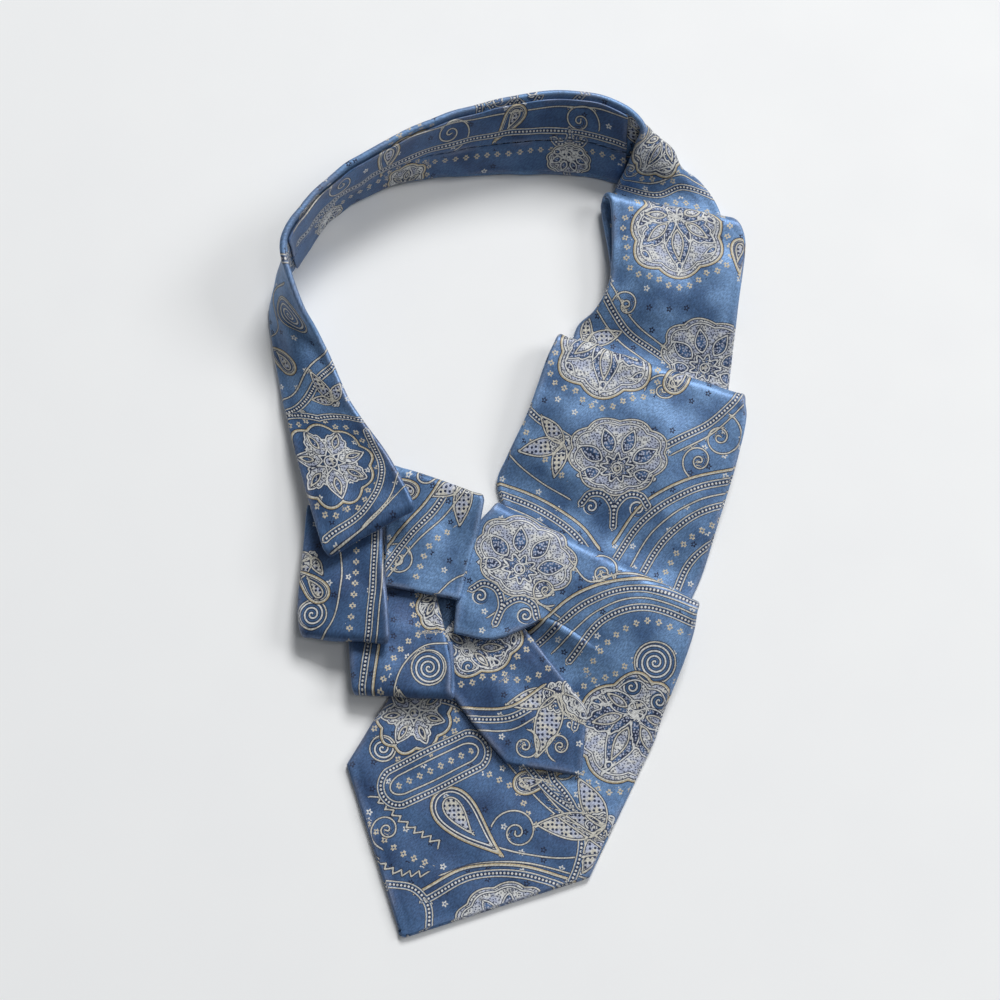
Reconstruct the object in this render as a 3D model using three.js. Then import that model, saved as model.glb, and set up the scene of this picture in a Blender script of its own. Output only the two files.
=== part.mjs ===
// A pleated silk cravat, folded from one long pointed neckpiece and laid on a table.
// The wide half comes over the right shoulder and is pleated down to its point. The narrow half is
// pleated on the left, and its end slips under the last wide fold. Millimetres, +Z up, table at z = 0.
import * as THREE from 'three';

// Driving sizes
const CLOTH = 2.4; // silk folded round its interlining
const HALF_CLOTH = CLOTH / 2;
const EDGE_REACH = 0.4 * CLOTH; // how far the rounded side stands out from the last column
const EDGE_SHARE = 0.6; // half thickness left where that rounding starts
const SEAM = 0.3; // gap between pieces
const CUT_BACK = 0.2; // how far each side of a cut in the neck run is drawn back
const FLAP = 0.9; // one folded-in edge of the silk on the back of the band
const WIDE_ROLL = 3.2; // radius of the soft folds of the wide half
const NARROW_ROLL = 1.8; // radius of the folds of the narrow half
const HEM_ROLL = 1.4; // radius of the crossover's turned top edge
const TUCK_IN = 1.5; // how far a hidden layer stays inside the one above it
const LAID_CENTRE = { x: 3.4, y: -3.4 }; // middle of the laid-out cravat in the tables below

// Fineness of the solids
const STEP = 7; // length of one facet along the cloth
const NECK_STEP = 5; // the same round the neck, where the cloth twists
const ROLL_TURNS = [180, 135, 90, 45]; // sections round a fold, in degrees

const SILK_BLUE = new THREE.MeshStandardMaterial({ color: 0x4f77ae, roughness: 0.45, metalness: 0 });
const FLAP_BLUE = new THREE.MeshStandardMaterial({ color: 0x37568a, roughness: 0.5, metalness: 0 });

// Each table gives the cloth's middle layer, one row for each section, from its left or lower edge to its
// right or upper edge. Where a row has a bulge, the middle of the section is moved by it.

// The stretch that lies on the left front, stands up round the neck and drops to the right shoulder.
const NECK_RUN = [
  { at: 'left fold', left: [-64, -25.5, 15.4], right: [-31, -8, 19.4] },
  { at: 'left chest', left: [-75.4, 9.7, 8], right: [-41.8, 13.1, 17] },
  { at: 'left collar', left: [-83.2, 38.8, 3], right: [-55.8, 33.4, 14] },
  { at: 'left twist', left: [-88, 63.5, 1.4], right: [-66.5, 56.4, 14], bulge: [-2, 2, 3] },
  { at: 'left rise', left: [-88.6, 79, 0.4], right: [-74.5, 69.5, 23], bulge: [-3, 2, 1] },
  { at: 'left upright', left: [-81, 94, 0], right: [-81.4, 94.2, 30.5] },
  { at: 'left back', left: [-64.8, 117, 0], right: [-65, 118, 30.5] },
  { at: 'nape left', left: [-46, 128, 0], right: [-46, 132, 30] },
  { at: 'nape lean', left: [-28.6, 131.7, 0], right: [-27, 142.5, 29.5] },
  { at: 'nape middle', left: [-7.9, 133, 0], right: [-5.8, 150, 29] },
  { at: 'nape right', left: [17.9, 133.4, 0], right: [17.3, 155, 29] },
  { at: 'right back', left: [36, 132, 0], right: [36.6, 153.8, 29] },
  { at: 'right turn', left: [49, 129, 0], right: [49.6, 148.6, 28] },
  { at: 'right corner', left: [60.3, 131, 0], right: [54.7, 142.5, 25.5], bulge: [3, 6, 1.3] },
  { at: 'right drop', left: [70, 134.5, 0.4], right: [52.5, 135.4, 20.5], bulge: [3.4, 3.8, 1.8] },
  { at: 'right shoulder', left: [77, 130.5, 1.2], right: [49.2, 130.4, 12], bulge: [1.6, 2.2, 3] },
  { at: 'right landing', left: [83.7, 122.7, 1.2], right: [45.8, 126.5, 4] },
  { at: 'under the upper pleat', left: [87.5, 114, 1.2], right: [44, 120.5, 1.2] },
  { at: 'hidden end', left: [88, 104, 1.2], right: [45, 108, 1.2] },
];

// The wide half: each pleat from its fold line down to the foot that lies under the next fold.
const UPPER_PLEAT = [
  { at: 'fold', left: [42.1, 121.8, 10.4], right: [93, 110.8, 10.4] },
  { at: 'upper', left: [43.4, 106.4, 10.2], right: [95.1, 100.6, 10.2] },
  { at: 'lower', left: [41.8, 83.7, 8], right: [92.1, 77.2, 8.5], bulge: [0, 0, 1] },
  { at: 'slope', left: [36, 74, 4.2], right: [90, 60, 4.6] },
  { at: 'foot', left: [30, 69, 1.3], right: [88.6, 48, 1.3] },
  { at: 'hidden end', left: [27, 58, 1.2], right: [87, 37, 1.2] },
];
const MIDDLE_PLEAT = [
  { at: 'fold', left: [21.8, 64.3, 10.4], right: [94, 39.2, 10.4] },
  { at: 'upper', left: [17.9, 53.4, 10], right: [93.4, 30.4, 10] },
  { at: 'lower', left: [10.6, 32.6, 8.5], right: [89.9, 14.4, 8.5], bulge: [0, 0, 1] },
  { at: 'slope', left: [2.4, 15.5, 4.4], right: [81.5, -12.2, 4.8] },
  { at: 'foot', left: [-1, 7.4, 1.3], right: [75.5, -30.5, 1.3] },
  { at: 'hidden end', left: [2, -5, 1.2], right: [69, -44, 1.2] },
];

// The wide end. Left of the crease its upper part is a free fold that covers the narrow end, and right
// of the crease it runs on down to the point in one sheet.
const WIDE_COLUMNS = ['left', 'inner', 'tuck', 'crease', 'outer', 'right'];
const WIDE_UPPER = [
  { at: 'fold',
    left: [-1.5, -2.2, 10.4], inner: [14, -10.1, 10.4], tuck: [23.5, -15, 10.4],
    crease: [29, -17.8, 10.4], outer: [52, -29.7, 10.4], right: [74.8, -41.4, 10.4] },
  { at: 'upper',
    left: [-10, -14, 9.2], inner: [7, -21.5, 10], tuck: [17, -26.3, 10.1],
    crease: [23, -29, 10.1], outer: [48, -41.2, 10], right: [71.5, -52.5, 9.6] },
  { at: 'lower',
    left: [-15, -31, 8.8], inner: [0, -37, 9.8], tuck: [12, -38.5, 9.6],
    crease: [19, -39, 9.4], outer: [43, -51, 8.8], right: [67.5, -64, 7.8] },
  { at: 'free edge',
    left: [-17.2, -52, 8.8], inner: [-3, -54.5, 9.4], tuck: [10.5, -49.5, 9],
    crease: [16, -47, 8.4], outer: [38, -60, 7.2], right: [62.5, -76, 5.4] },
];
const WIDE_LOWER = [
  { at: 'under the fold',
    left: [-26, -38, 1.2], inner: [-9, -40, 1.2], tuck: [10, -48.5, 1.4],
    crease: [16, -47, 8.4], outer: [38, -60, 7.2], right: [62.5, -76, 5.4] },
  { at: 'crease foot',
    left: [-32, -61, 1.2], inner: [-11.5, -58.5, 1.2], tuck: [7, -56.5, 1.3],
    crease: [13.5, -54.5, 3], outer: [35.5, -66.2, 5.4], right: [60, -82, 4] },
  { at: 'slope',
    left: [-37, -69, 1.2], inner: [-16, -68, 1.2], tuck: [2, -67, 1.2],
    crease: [9, -66.6, 1.6], outer: [32, -76, 3], right: [57, -91, 2.2] },
  { at: 'blade',
    left: [-44, -80, 1.2], inner: [-24, -82, 1.2], tuck: [-7, -84, 1.2],
    crease: [1, -85, 1.2], outer: [26, -93, 1.3], right: [50, -105.5, 1.2] },
  { at: 'shoulders', sharp: true,
    left: [-56.1, -100, 1.2], inner: [-38.4, -108.1, 1.2], tuck: [-26, -113.8, 1.2],
    crease: [-20, -116.6, 1.2], outer: [6, -128.5, 1.2], right: [32.5, -140.7, 1.2] },
  { at: 'point',
    left: [-35.6, -160.4, 1.2], inner: [-35.1, -160.7, 1.2], tuck: [-34.7, -160.9, 1.2],
    crease: [-34.2, -161, 1.2], outer: [-33.6, -161, 1.2], right: [-32.8, -160.9, 1.2] },
];

// The narrow half: two pleats on the left, the stretch that crosses to the right, and the pointed end.
const LEFT_UPPER_PLEAT = [
  { at: 'fold', left: [-73.7, -53.9, 7.6], right: [-40.2, -58, 15.4] },
  { at: 'lower', left: [-75, -42, 7.4], right: [-41.1, -43.5, 15] },
  { at: 'upper', left: [-74.1, -25.3, 6.4], right: [-42.9, -29, 13.2] },
  { at: 'hidden end', left: [-72.7, -4, 5.4], right: [-44, -9, 11] },
];
const LEFT_LOWER_PLEAT = [
  { at: 'fold', left: [-54.3, -75.2, 7.6], right: [-17.6, -77.4, 10.6] },
  { at: 'lower', left: [-55.2, -65.2, 7.4], right: [-17.7, -65.2, 10.4] },
  { at: 'upper', left: [-56.1, -53, 5.8], right: [-19.8, -54, 9] },
  { at: 'hidden end', left: [-56.5, -36, 4], right: [-24.5, -35, 6] },
];
const CROSSOVER = [
  { at: 'top fold', left: [-41, 12.4, 7], right: [-5.6, -0.9, 13.2] },
  { at: 'upper', left: [-42.5, -4, 7.6], right: [-8, -15, 11.9] },
  { at: 'lower', left: [-43, -20, 8], right: [-11.5, -28, 11.1] },
  { at: 'bottom edge', left: [-43.4, -34, 8.2], right: [-14.4, -40.1, 10.9] },
];
const NARROW_END = [
  { at: 'point', left: [28, -103.9, 4.4], right: [29.3, -103, 4.4] },
  { at: 'shoulders', sharp: true, left: [2, -100, 4.2], right: [31.9, -80.2, 5.8] },
  { at: 'middle', left: [-9, -87, 4.2], right: [19, -63.2, 6] },
  { at: 'under the fold', left: [-17.7, -75.4, 4.1], right: [7.6, -48.4, 5.5] },
  { at: 'hidden end', left: [-29, -61, 4.1], right: [-3.5, -34, 4.1] },
];

const point = (xyz) => new THREE.Vector3(...xyz);
const plan = (vector) => vector.clone().setZ(0);

// The control points of one section, drawn in at both ends to leave room for the rounded sides.
function section(row) {
  const across = WIDE_COLUMNS.filter((column) => row[column]).map((column) => point(row[column]));
  const last = across.length - 1;
  const reach = Math.min(EDGE_REACH, 0.3 * across[0].distanceTo(across[last]));
  const ends = [across[0], across[last]];
  const drawnIn = [across[1], across[last - 1]].map((p, k) => p.clone().sub(ends[k]).setLength(reach));
  ends.forEach((p, k) => p.add(drawnIn[k]));
  if (across.length > 2) return across;
  const middle = across[0].clone().lerp(across[1], 0.5);
  if (row.bulge) middle.add(point(row.bulge));
  return [across[0], middle, across[1]];
}

// Rolls the cloth over at its first section, which is the fold line seen from above, and carries it back
// underneath for a length. The hidden layer's sides lie out from the fold's by the two given distances.
function turnUnder(sections, { roll, under, leftOut = -TUCK_IN, rightOut = -TUCK_IN }) {
  const [fold, next, ...rest] = sections;
  const last = fold.length - 1;
  const rightward = fold[last].clone().sub(fold[0]).normalize();
  const sideStep = fold.map((_, k) => {
    const share = k / last;
    return rightward.clone().multiplyScalar(rightOut * share - leftOut * (1 - share));
  });
  const inward = new THREE.Vector3();
  fold.forEach((p, k) => inward.add(plan(next[k].clone().sub(p)).normalize()));
  inward.normalize();
  const top = fold.map((p) => p.clone().addScaledVector(inward, roll + HALF_CLOTH));
  const down = (p, drop) => p.clone().setZ(p.z - drop);
  const hidden = [under, under / 2].map((length) => (
    top.map((p, k) => down(p, 2 * roll).addScaledVector(inward, length).add(sideStep[k]))
  ));
  const arc = ROLL_TURNS.map((degrees) => {
    const turn = THREE.MathUtils.degToRad(degrees);
    return top.map((p, k) => (
      down(p, roll * (1 - Math.cos(turn)))
        .addScaledVector(inward, -roll * Math.sin(turn))
        .addScaledVector(sideStep[k], degrees / 180)
    ));
  });
  return [...hidden, ...arc, top, next, ...rest];
}

// Points on a smooth line through the given ones, with a count for each span.
function through(points, counts) {
  const curve = new THREE.CatmullRomCurve3(points, false, 'centripetal');
  const spans = points.length - 1;
  const line = counts.flatMap((count, span) => (
    Array.from({ length: count }, (_, k) => curve.getPoint((span + k / count) / spans))
  ));
  return [...line, points[spans].clone()];
}

// A grid of points over smooth sections: grid[along][across].
function smoothGrid(sections, perSpan, step) {
  const wide = sections.map((row) => through(row, Array(row.length - 1).fill(perSpan)));
  const middle = Math.floor(wide[0].length / 2);
  const counts = wide.slice(1).map((row, k) => (
    Math.max(1, Math.round(row[middle].distanceTo(wide[k][middle]) / step))
  ));
  const columns = wide[0].map((_, j) => through(wide.map((row) => row[j]), counts));
  return columns[0].map((_, i) => columns.map((column) => column[i]));
}

// The grid of a table. A row marked sharp ends one smooth run and starts the next.
function gridOf(rows, { perSpan = 4, step = STEP, fold = null } = {}) {
  const breaks = rows.flatMap((row, k) => (row.sharp ? [k] : []));
  const ends = [0, ...breaks, rows.length - 1];
  return ends.slice(1).flatMap((end, run) => {
    let sections = rows.slice(ends[run], end + 1).map(section);
    if (fold && run === 0) sections = turnUnder(sections, fold);
    const grid = smoothGrid(sections, perSpan, step);
    return run === 0 ? grid : grid.slice(1);
  });
}

// A surface is a list of points and of the quads between them.
function surfaceOf(grid) {
  const width = grid[0].length;
  const quads = grid.slice(1).flatMap((_, i) => (
    Array.from({ length: width - 1 }, (__, j) => {
      const first = i * width + j;
      return [first, first + 1, first + width + 1, first + width];
    })
  ));
  return { points: grid.flat(), quads };
}

// The lower grid hangs on the upper one from the crease column to the right, and is free to its left.
function joinAtCrease(upper, lower, creaseColumn) {
  const top = surfaceOf(upper);
  const bottom = surfaceOf(lower);
  const width = upper[0].length;
  const lastRow = (upper.length - 1) * width;
  const offset = top.points.length;
  const place = (index) => (
    index < width && index >= creaseColumn ? lastRow + index : offset + index
  );
  return {
    points: [...top.points, ...bottom.points],
    quads: [...top.quads, ...bottom.quads.map((quad) => quad.map(place))],
  };
}

function normalsOf({ points, quads }) {
  const normals = points.map(() => new THREE.Vector3());
  quads.forEach(([a, b, c, d]) => {
    const across = points[c].clone().sub(points[a]);
    const back = points[d].clone().sub(points[b]);
    const normal = across.cross(back);
    [a, b, c, d].forEach((k) => normals[k].add(normal));
  });
  return normals.map((n) => n.normalize());
}

// Edges that belong to one quad only, in that quad's direction.
function openEdges(quads) {
  const seen = new Map();
  quads.forEach((quad) => quad.forEach((a, k) => {
    const b = quad[(k + 1) % 4];
    const key = `${Math.min(a, b)} ${Math.max(a, b)}`;
    seen.set(key, seen.has(key) ? null : [a, b]);
  }));
  return [...seen.values()].filter(Boolean);
}

// The way out of a surface: a normal at each point, and the sideways direction along its open edges.
function bearings(surface) {
  const { points, quads } = surface;
  const normals = normalsOf(surface);
  const outward = new Map();
  openEdges(quads).forEach(([a, b]) => {
    const along = points[b].clone().sub(points[a]).normalize();
    [a, b].forEach((k) => {
      const out = along.clone().cross(normals[k]);
      outward.set(k, (outward.get(k) ?? new THREE.Vector3()).add(out));
    });
  });
  return { normals, outward };
}

// A closed wall of even thickness about a surface, with rounded sides and nothing below the table. An
// edge with no sideways direction of its own, where a stretch is cut, keeps a flat face.
function wall(surface, { thickness = CLOTH, normals, outward } = {}) {
  const { points, quads } = surface;
  if (!normals) ({ normals, outward } = bearings(surface));
  const half = thickness / 2;
  const edges = openEdges(quads);
  const rounded = (k) => outward.has(k) && outward.get(k).lengthSq() > 1e-6;
  const depth = (k) => half * (rounded(k) ? EDGE_SHARE : 1);
  const reach = (EDGE_REACH * thickness) / CLOTH;
  const vertices = [];
  const keep = (p) => vertices.push([p.x, p.y, Math.max(0, p.z)]) - 1;
  const used = new Set(quads.flat());
  const upper = new Map();
  const lower = new Map();
  const side = new Map();
  used.forEach((k) => {
    upper.set(k, keep(points[k].clone().addScaledVector(normals[k], depth(k))));
    lower.set(k, keep(points[k].clone().addScaledVector(normals[k], -depth(k))));
  });
  new Set(edges.flat()).forEach((k) => {
    const step = rounded(k) ? outward.get(k).clone().setLength(reach) : new THREE.Vector3();
    side.set(k, keep(points[k].clone().add(step)));
  });
  const faces = [];
  quads.forEach(([a, b, c, d]) => {
    const [ua, ub, uc, ud] = [a, b, c, d].map((k) => upper.get(k));
    const [la, lb, lc, ld] = [a, b, c, d].map((k) => lower.get(k));
    faces.push([ua, ub, uc], [ua, uc, ud], [la, lc, lb], [la, ld, lc]);
  });
  edges.forEach(([a, b]) => {
    const [ua, ub, sa, sb, la, lb] = [upper, side, lower].flatMap((m) => [m.get(a), m.get(b)]);
    faces.push([ub, ua, sa], [ub, sa, sb], [sb, sa, la], [sb, la, lb]);
  });
  const geometry = new THREE.BufferGeometry();
  geometry.setAttribute('position', new THREE.Float32BufferAttribute(vertices.flat(), 3));
  geometry.setIndex(faces.flat());
  geometry.computeVertexNormals();
  return geometry;
}

const cravat = new THREE.Group();
cravat.position.set(-LAID_CENTRE.x, -LAID_CENTRE.y, 0);

function piece(name, geometry, material = SILK_BLUE) {
  const mesh = new THREE.Mesh(geometry, material);
  mesh.name = name;
  cravat.add(mesh);
}

// Neck run: one smooth sheet, cut into three stretches with a seam's gap between them.
const neckGrid = gridOf(NECK_RUN, { step: NECK_STEP, fold: { roll: NARROW_ROLL, under: 12 } });
const neckBearings = bearings(surfaceOf(neckGrid));
const neckWidth = neckGrid[0].length;

// The grid row that is nearest to a named section.
function rowNear(name) {
  const middle = section(NECK_RUN.find((row) => row.at === name))[1];
  const distances = neckGrid.map((row) => row[Math.floor(neckWidth / 2)].distanceTo(middle));
  return distances.indexOf(Math.min(...distances));
}

function neckStretch(from, to) {
  const rows = neckGrid.slice(from, to + 1).map((row) => row.map((p) => p.clone()));
  const first = from * neckWidth;
  const normals = neckBearings.normals.slice(first, (to + 1) * neckWidth);
  const outward = new Map([...neckBearings.outward].map(([k, out]) => [k - first, out]));
  const last = rows.length - 1;
  const pull = (row, next) => rows[row].forEach((p, j) => {
    const [before, after] = [Math.max(0, j - 1), Math.min(neckWidth - 1, j + 1)];
    const across = neckGrid[from + row][after].clone().sub(neckGrid[from + row][before]);
    const back = rows[next][j].clone().sub(p);
    back.projectOnPlane(across).projectOnPlane(normals[row * neckWidth + j]);
    p.add(back.setLength(CUT_BACK));
  });
  if (from > 0) pull(0, 1);
  if (to < neckGrid.length - 1) pull(last, last - 1);
  return wall(surfaceOf(rows), { normals, outward });
}

const leftCut = rowNear('left rise');
const rightCut = rowNear('right corner');
piece('left_front', neckStretch(0, leftCut));
piece('neckband', neckStretch(leftCut, rightCut));
piece('right_shoulder', neckStretch(rightCut, neckGrid.length - 1));

// The silk's two folded-in edges on the inside of the band, made from the band's own points. The upper
// one laps down past the middle, and they meet in one seam round the neck.
const FLAP_SEAM_COLUMN = 3.6; // of the band's eight columns, counted from its lower edge
const FLAP_INSET = 0.45; // columns left bare at the band's rolled edges
const flapFrom = rowNear('left upright');
const flapTo = rowNear('right turn');
const flapOut = HALF_CLOTH + 1.25 * SEAM + FLAP / 2;

function flapGrid(lowColumn, highColumn, spans) {
  const { normals } = neckBearings;
  return neckGrid.slice(flapFrom, flapTo + 1).map((row, i) => (
    Array.from({ length: spans + 1 }, (_, k) => {
      const column = lowColumn + ((highColumn - lowColumn) * k) / spans;
      const left = Math.min(Math.floor(column), neckWidth - 2);
      const share = column - left;
      const first = (flapFrom + i) * neckWidth + left;
      const normal = normals[first].clone().lerp(normals[first + 1], share).normalize();
      return row[left].clone().lerp(row[left + 1], share).addScaledVector(normal, -flapOut);
    })
  ));
}

const seamHalf = 0.14; // columns, so that the flaps' rounded sides stay a seam apart
const lowerFlap = flapGrid(FLAP_INSET, FLAP_SEAM_COLUMN - seamHalf, 3);
const upperFlap = flapGrid(FLAP_SEAM_COLUMN + seamHalf, neckWidth - 1 - FLAP_INSET, 3);
piece('neckband_lower_flap', wall(surfaceOf(lowerFlap), { thickness: FLAP }), FLAP_BLUE);
piece('neckband_upper_flap', wall(surfaceOf(upperFlap), { thickness: FLAP }), FLAP_BLUE);

// Pleats of the wide half. The upper pleat's hidden layer shows beside its left edge.
const upperFold = { roll: WIDE_ROLL, under: 34, leftOut: 3.2, rightOut: -6.5 };
const middleFold = { roll: WIDE_ROLL, under: 16 };
const wideFold = { roll: WIDE_ROLL, under: 14 };
piece('upper_pleat', wall(surfaceOf(gridOf(UPPER_PLEAT, { fold: upperFold }))));
piece('middle_pleat', wall(surfaceOf(gridOf(MIDDLE_PLEAT, { perSpan: 5, fold: middleFold }))));

const WIDE_PER_SPAN = 2;
const wideUpper = gridOf(WIDE_UPPER, { perSpan: WIDE_PER_SPAN, fold: wideFold });
const wideLower = gridOf(WIDE_LOWER, { perSpan: WIDE_PER_SPAN });
const creaseColumn = WIDE_COLUMNS.indexOf('crease') * WIDE_PER_SPAN;
piece('wide_end', wall(joinAtCrease(wideUpper, wideLower, creaseColumn)));

// Pleats of the narrow half
const leftUpperFold = { roll: NARROW_ROLL, under: 12 };
const leftLowerFold = { roll: NARROW_ROLL, under: 18, rightOut: 1.4 };
const hemFold = { roll: HEM_ROLL, under: 3 };
piece('left_upper_pleat', wall(surfaceOf(gridOf(LEFT_UPPER_PLEAT, { fold: leftUpperFold }))));
piece('left_lower_pleat', wall(surfaceOf(gridOf(LEFT_LOWER_PLEAT, { fold: leftLowerFold }))));
piece('crossover', wall(surfaceOf(gridOf(CROSSOVER, { fold: hemFold }))));
piece('narrow_end', wall(surfaceOf(gridOf(NARROW_END))));

export default cravat;
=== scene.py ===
# %% [markdown]
# # A pleated silk cravat
# One long, pointed neckpiece of figured silk is pleated up and laid on a table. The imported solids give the
# frame: where each stretch lies, how wide it is and how high its folds stand. This lesson gives the cloth
# its rounded edges, its soft folds, its woven paisley and its sewing, on top of that frame.

# %% Frame
import math

import bpy
import numpy as np
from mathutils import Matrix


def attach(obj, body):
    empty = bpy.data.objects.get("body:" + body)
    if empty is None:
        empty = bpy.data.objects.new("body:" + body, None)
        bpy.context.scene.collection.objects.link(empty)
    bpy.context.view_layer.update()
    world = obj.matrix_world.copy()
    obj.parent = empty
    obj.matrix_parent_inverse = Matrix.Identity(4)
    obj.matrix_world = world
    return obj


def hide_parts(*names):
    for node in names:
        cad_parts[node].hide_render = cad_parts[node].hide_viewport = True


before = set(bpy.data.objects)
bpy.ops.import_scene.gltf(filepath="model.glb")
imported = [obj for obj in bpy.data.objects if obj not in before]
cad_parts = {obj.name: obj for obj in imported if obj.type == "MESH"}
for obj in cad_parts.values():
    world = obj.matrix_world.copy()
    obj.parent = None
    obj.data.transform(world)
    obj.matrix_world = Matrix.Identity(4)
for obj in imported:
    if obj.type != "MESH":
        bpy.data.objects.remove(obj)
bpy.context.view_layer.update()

print("solids:", sorted(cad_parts))

# %% [markdown]
# ## Camera
# The cravat is seen from nearly overhead, with the point towards the viewer. The tables further on give
# places in millimetres from the spot of table in the middle of the picture, so the camera aims there. From
# further off a longer lens would flatten the folds, so it stands at about arm's length.

# %% Camera
MM = 0.001
LAID_CENTRE = np.array([3.4, -3.4, 0.0])  # mm, the middle of the laid-out cravat in the tables
CAMERA_TILT = math.radians(76)  # above the table
CAMERA_FAR = 720.0  # mm from the aim point
PICTURE_WIDE = 380.0  # mm of table across the picture at the aim point
SENSOR = 36.0  # mm
CAMERA_NEAR = 10.0  # mm, nothing closer than this is drawn

aim = -LAID_CENTRE * MM
camera_data = bpy.data.cameras.new("camera")
camera_data.sensor_width = SENSOR
camera_data.lens = SENSOR * CAMERA_FAR / PICTURE_WIDE
camera_data.clip_start = CAMERA_NEAR * MM
camera = bpy.data.objects.new("camera", camera_data)
camera.location = (
    aim[0],
    aim[1] - math.cos(CAMERA_TILT) * CAMERA_FAR * MM,
    aim[2] + math.sin(CAMERA_TILT) * CAMERA_FAR * MM,
)
camera.rotation_euler = (math.pi / 2 - CAMERA_TILT, 0, 0)
bpy.context.collection.objects.link(camera)
bpy.context.scene.camera = camera
print("camera lens", round(camera_data.lens, 1), "mm")

# %% [markdown]
# ## Sections of the cloth
# The neckpiece is one flat tube of silk, about 2.4 mm thick with its interlining. Each stretch is given by
# a few sections from one side of the cloth to the other. A row can add a bulge to its middle. A smooth
# surface through the sections is the middle of the cloth. A cloth simulation could drape it too, but would
# not leave each pleat where the frame has it.

# %% Sizes and sections
CLOTH = 2.4  # mm, silk folded round its interlining
EDGE_REACH = 0.4 * CLOTH  # mm, how far the rounded side stands out
WIDE_ROLL = 3.2  # mm, radius of the soft folds of the wide half
NARROW_ROLL = 1.8  # mm, radius of the folds of the narrow half
HEM_ROLL = 1.4  # mm, radius of the crossover's turned top edge
WIDE_BLADE = 98.0  # mm across the wide end
TUCK_IN = 1.5  # mm, how far a hidden layer stays inside the one above it
STEP = 0.7  # mm between the points of a surface
ROLL_STEP = 22.5  # degrees between the rows of a rolled fold
END_SHARE = 0.3  # of a short section, the most that a rounded side may take
COLUMNS = ("left", "inner", "tuck", "crease", "outer", "right")

NECK_RUN = [
    dict(at="left fold", left=(-64, -25.5, 15.4), right=(-31, -8, 19.4)),
    dict(at="left chest", left=(-75.4, 9.7, 8), right=(-41.8, 13.1, 17)),
    dict(at="left collar", left=(-83.2, 38.8, 3), right=(-55.8, 33.4, 14)),
    dict(at="left twist", left=(-88, 63.5, 1.4), right=(-66.5, 56.4, 14), bulge=(-2, 2, 3)),
    dict(at="left rise", left=(-88.6, 79, 0.4), right=(-74.5, 69.5, 23), bulge=(-3, 2, 1)),
    dict(at="left upright", left=(-81, 94, 0), right=(-81.4, 94.2, 30.5)),
    dict(at="left back", left=(-64.8, 117, 0), right=(-65, 118, 30.5)),
    dict(at="nape left", left=(-46, 128, 0), right=(-46, 132, 30)),
    dict(at="nape lean", left=(-28.6, 131.7, 0), right=(-27, 142.5, 29.5)),
    dict(at="nape middle", left=(-7.9, 133, 0), right=(-5.8, 150, 29)),
    dict(at="nape right", left=(17.9, 133.4, 0), right=(17.3, 155, 29)),
    dict(at="right back", left=(36, 132, 0), right=(36.6, 153.8, 29)),
    dict(at="right turn", left=(49, 129, 0), right=(49.6, 148.6, 28)),
    dict(at="right corner", left=(60.3, 131, 0), right=(54.7, 142.5, 25.5), bulge=(3, 6, 1.3)),
    dict(at="right drop", left=(70, 134.5, 0.4), right=(52.5, 135.4, 20.5), bulge=(3.4, 3.8, 1.8)),
    dict(at="right shoulder", left=(77, 130.5, 1.2), right=(49.2, 130.4, 12), bulge=(1.6, 2.2, 3)),
    dict(at="right landing", left=(83.7, 122.7, 1.2), right=(45.8, 126.5, 4)),
    dict(at="under the upper pleat", left=(87.5, 114, 1.2), right=(44, 120.5, 1.2)),
    dict(at="hidden end", left=(88, 104, 1.2), right=(45, 108, 1.2)),
]
UPPER_PLEAT = [
    dict(at="fold", left=(42.1, 121.8, 10.4), right=(93, 110.8, 10.4)),
    dict(at="upper", left=(43.4, 106.4, 10.2), right=(95.1, 100.6, 10.2)),
    dict(at="lower", left=(41.8, 83.7, 8), right=(92.1, 77.2, 8.5), bulge=(0, 0, 1)),
    dict(at="slope", left=(36, 74, 4.2), right=(90, 60, 4.6)),
    dict(at="foot", left=(30, 69, 1.3), right=(88.6, 48, 1.3)),
    dict(at="hidden end", left=(27, 58, 1.2), right=(87, 37, 1.2)),
]
MIDDLE_PLEAT = [
    dict(at="fold", left=(21.8, 64.3, 10.4), right=(94, 39.2, 10.4)),
    dict(at="upper", left=(17.9, 53.4, 10), right=(93.4, 30.4, 10)),
    dict(at="lower", left=(10.6, 32.6, 8.5), right=(89.9, 14.4, 8.5), bulge=(0, 0, 1)),
    dict(at="slope", left=(2.4, 15.5, 4.4), right=(81.5, -12.2, 4.8)),
    dict(at="foot", left=(-1, 7.4, 1.3), right=(75.5, -30.5, 1.3)),
    dict(at="hidden end", left=(2, -5, 1.2), right=(69, -44, 1.2)),
]
WIDE_UPPER = [
    dict(at="fold", left=(-1.5, -2.2, 10.4), inner=(14, -10.1, 10.4), tuck=(23.5, -15, 10.4),
         crease=(29, -17.8, 10.4), outer=(52, -29.7, 10.4), right=(74.8, -41.4, 10.4)),
    dict(at="upper", left=(-10, -14, 9.2), inner=(7, -21.5, 10), tuck=(17, -26.3, 10.1),
         crease=(23, -29, 10.1), outer=(48, -41.2, 10), right=(71.5, -52.5, 9.6)),
    dict(at="lower", left=(-15, -31, 8.8), inner=(0, -37, 9.8), tuck=(12, -38.5, 9.6),
         crease=(19, -39, 9.4), outer=(43, -51, 8.8), right=(67.5, -64, 7.8)),
    dict(at="free edge", left=(-17.2, -52, 8.8), inner=(-3, -54.5, 9.4), tuck=(10.5, -49.5, 9),
         crease=(16, -47, 8.4), outer=(38, -60, 7.2), right=(62.5, -76, 5.4)),
]
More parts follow.
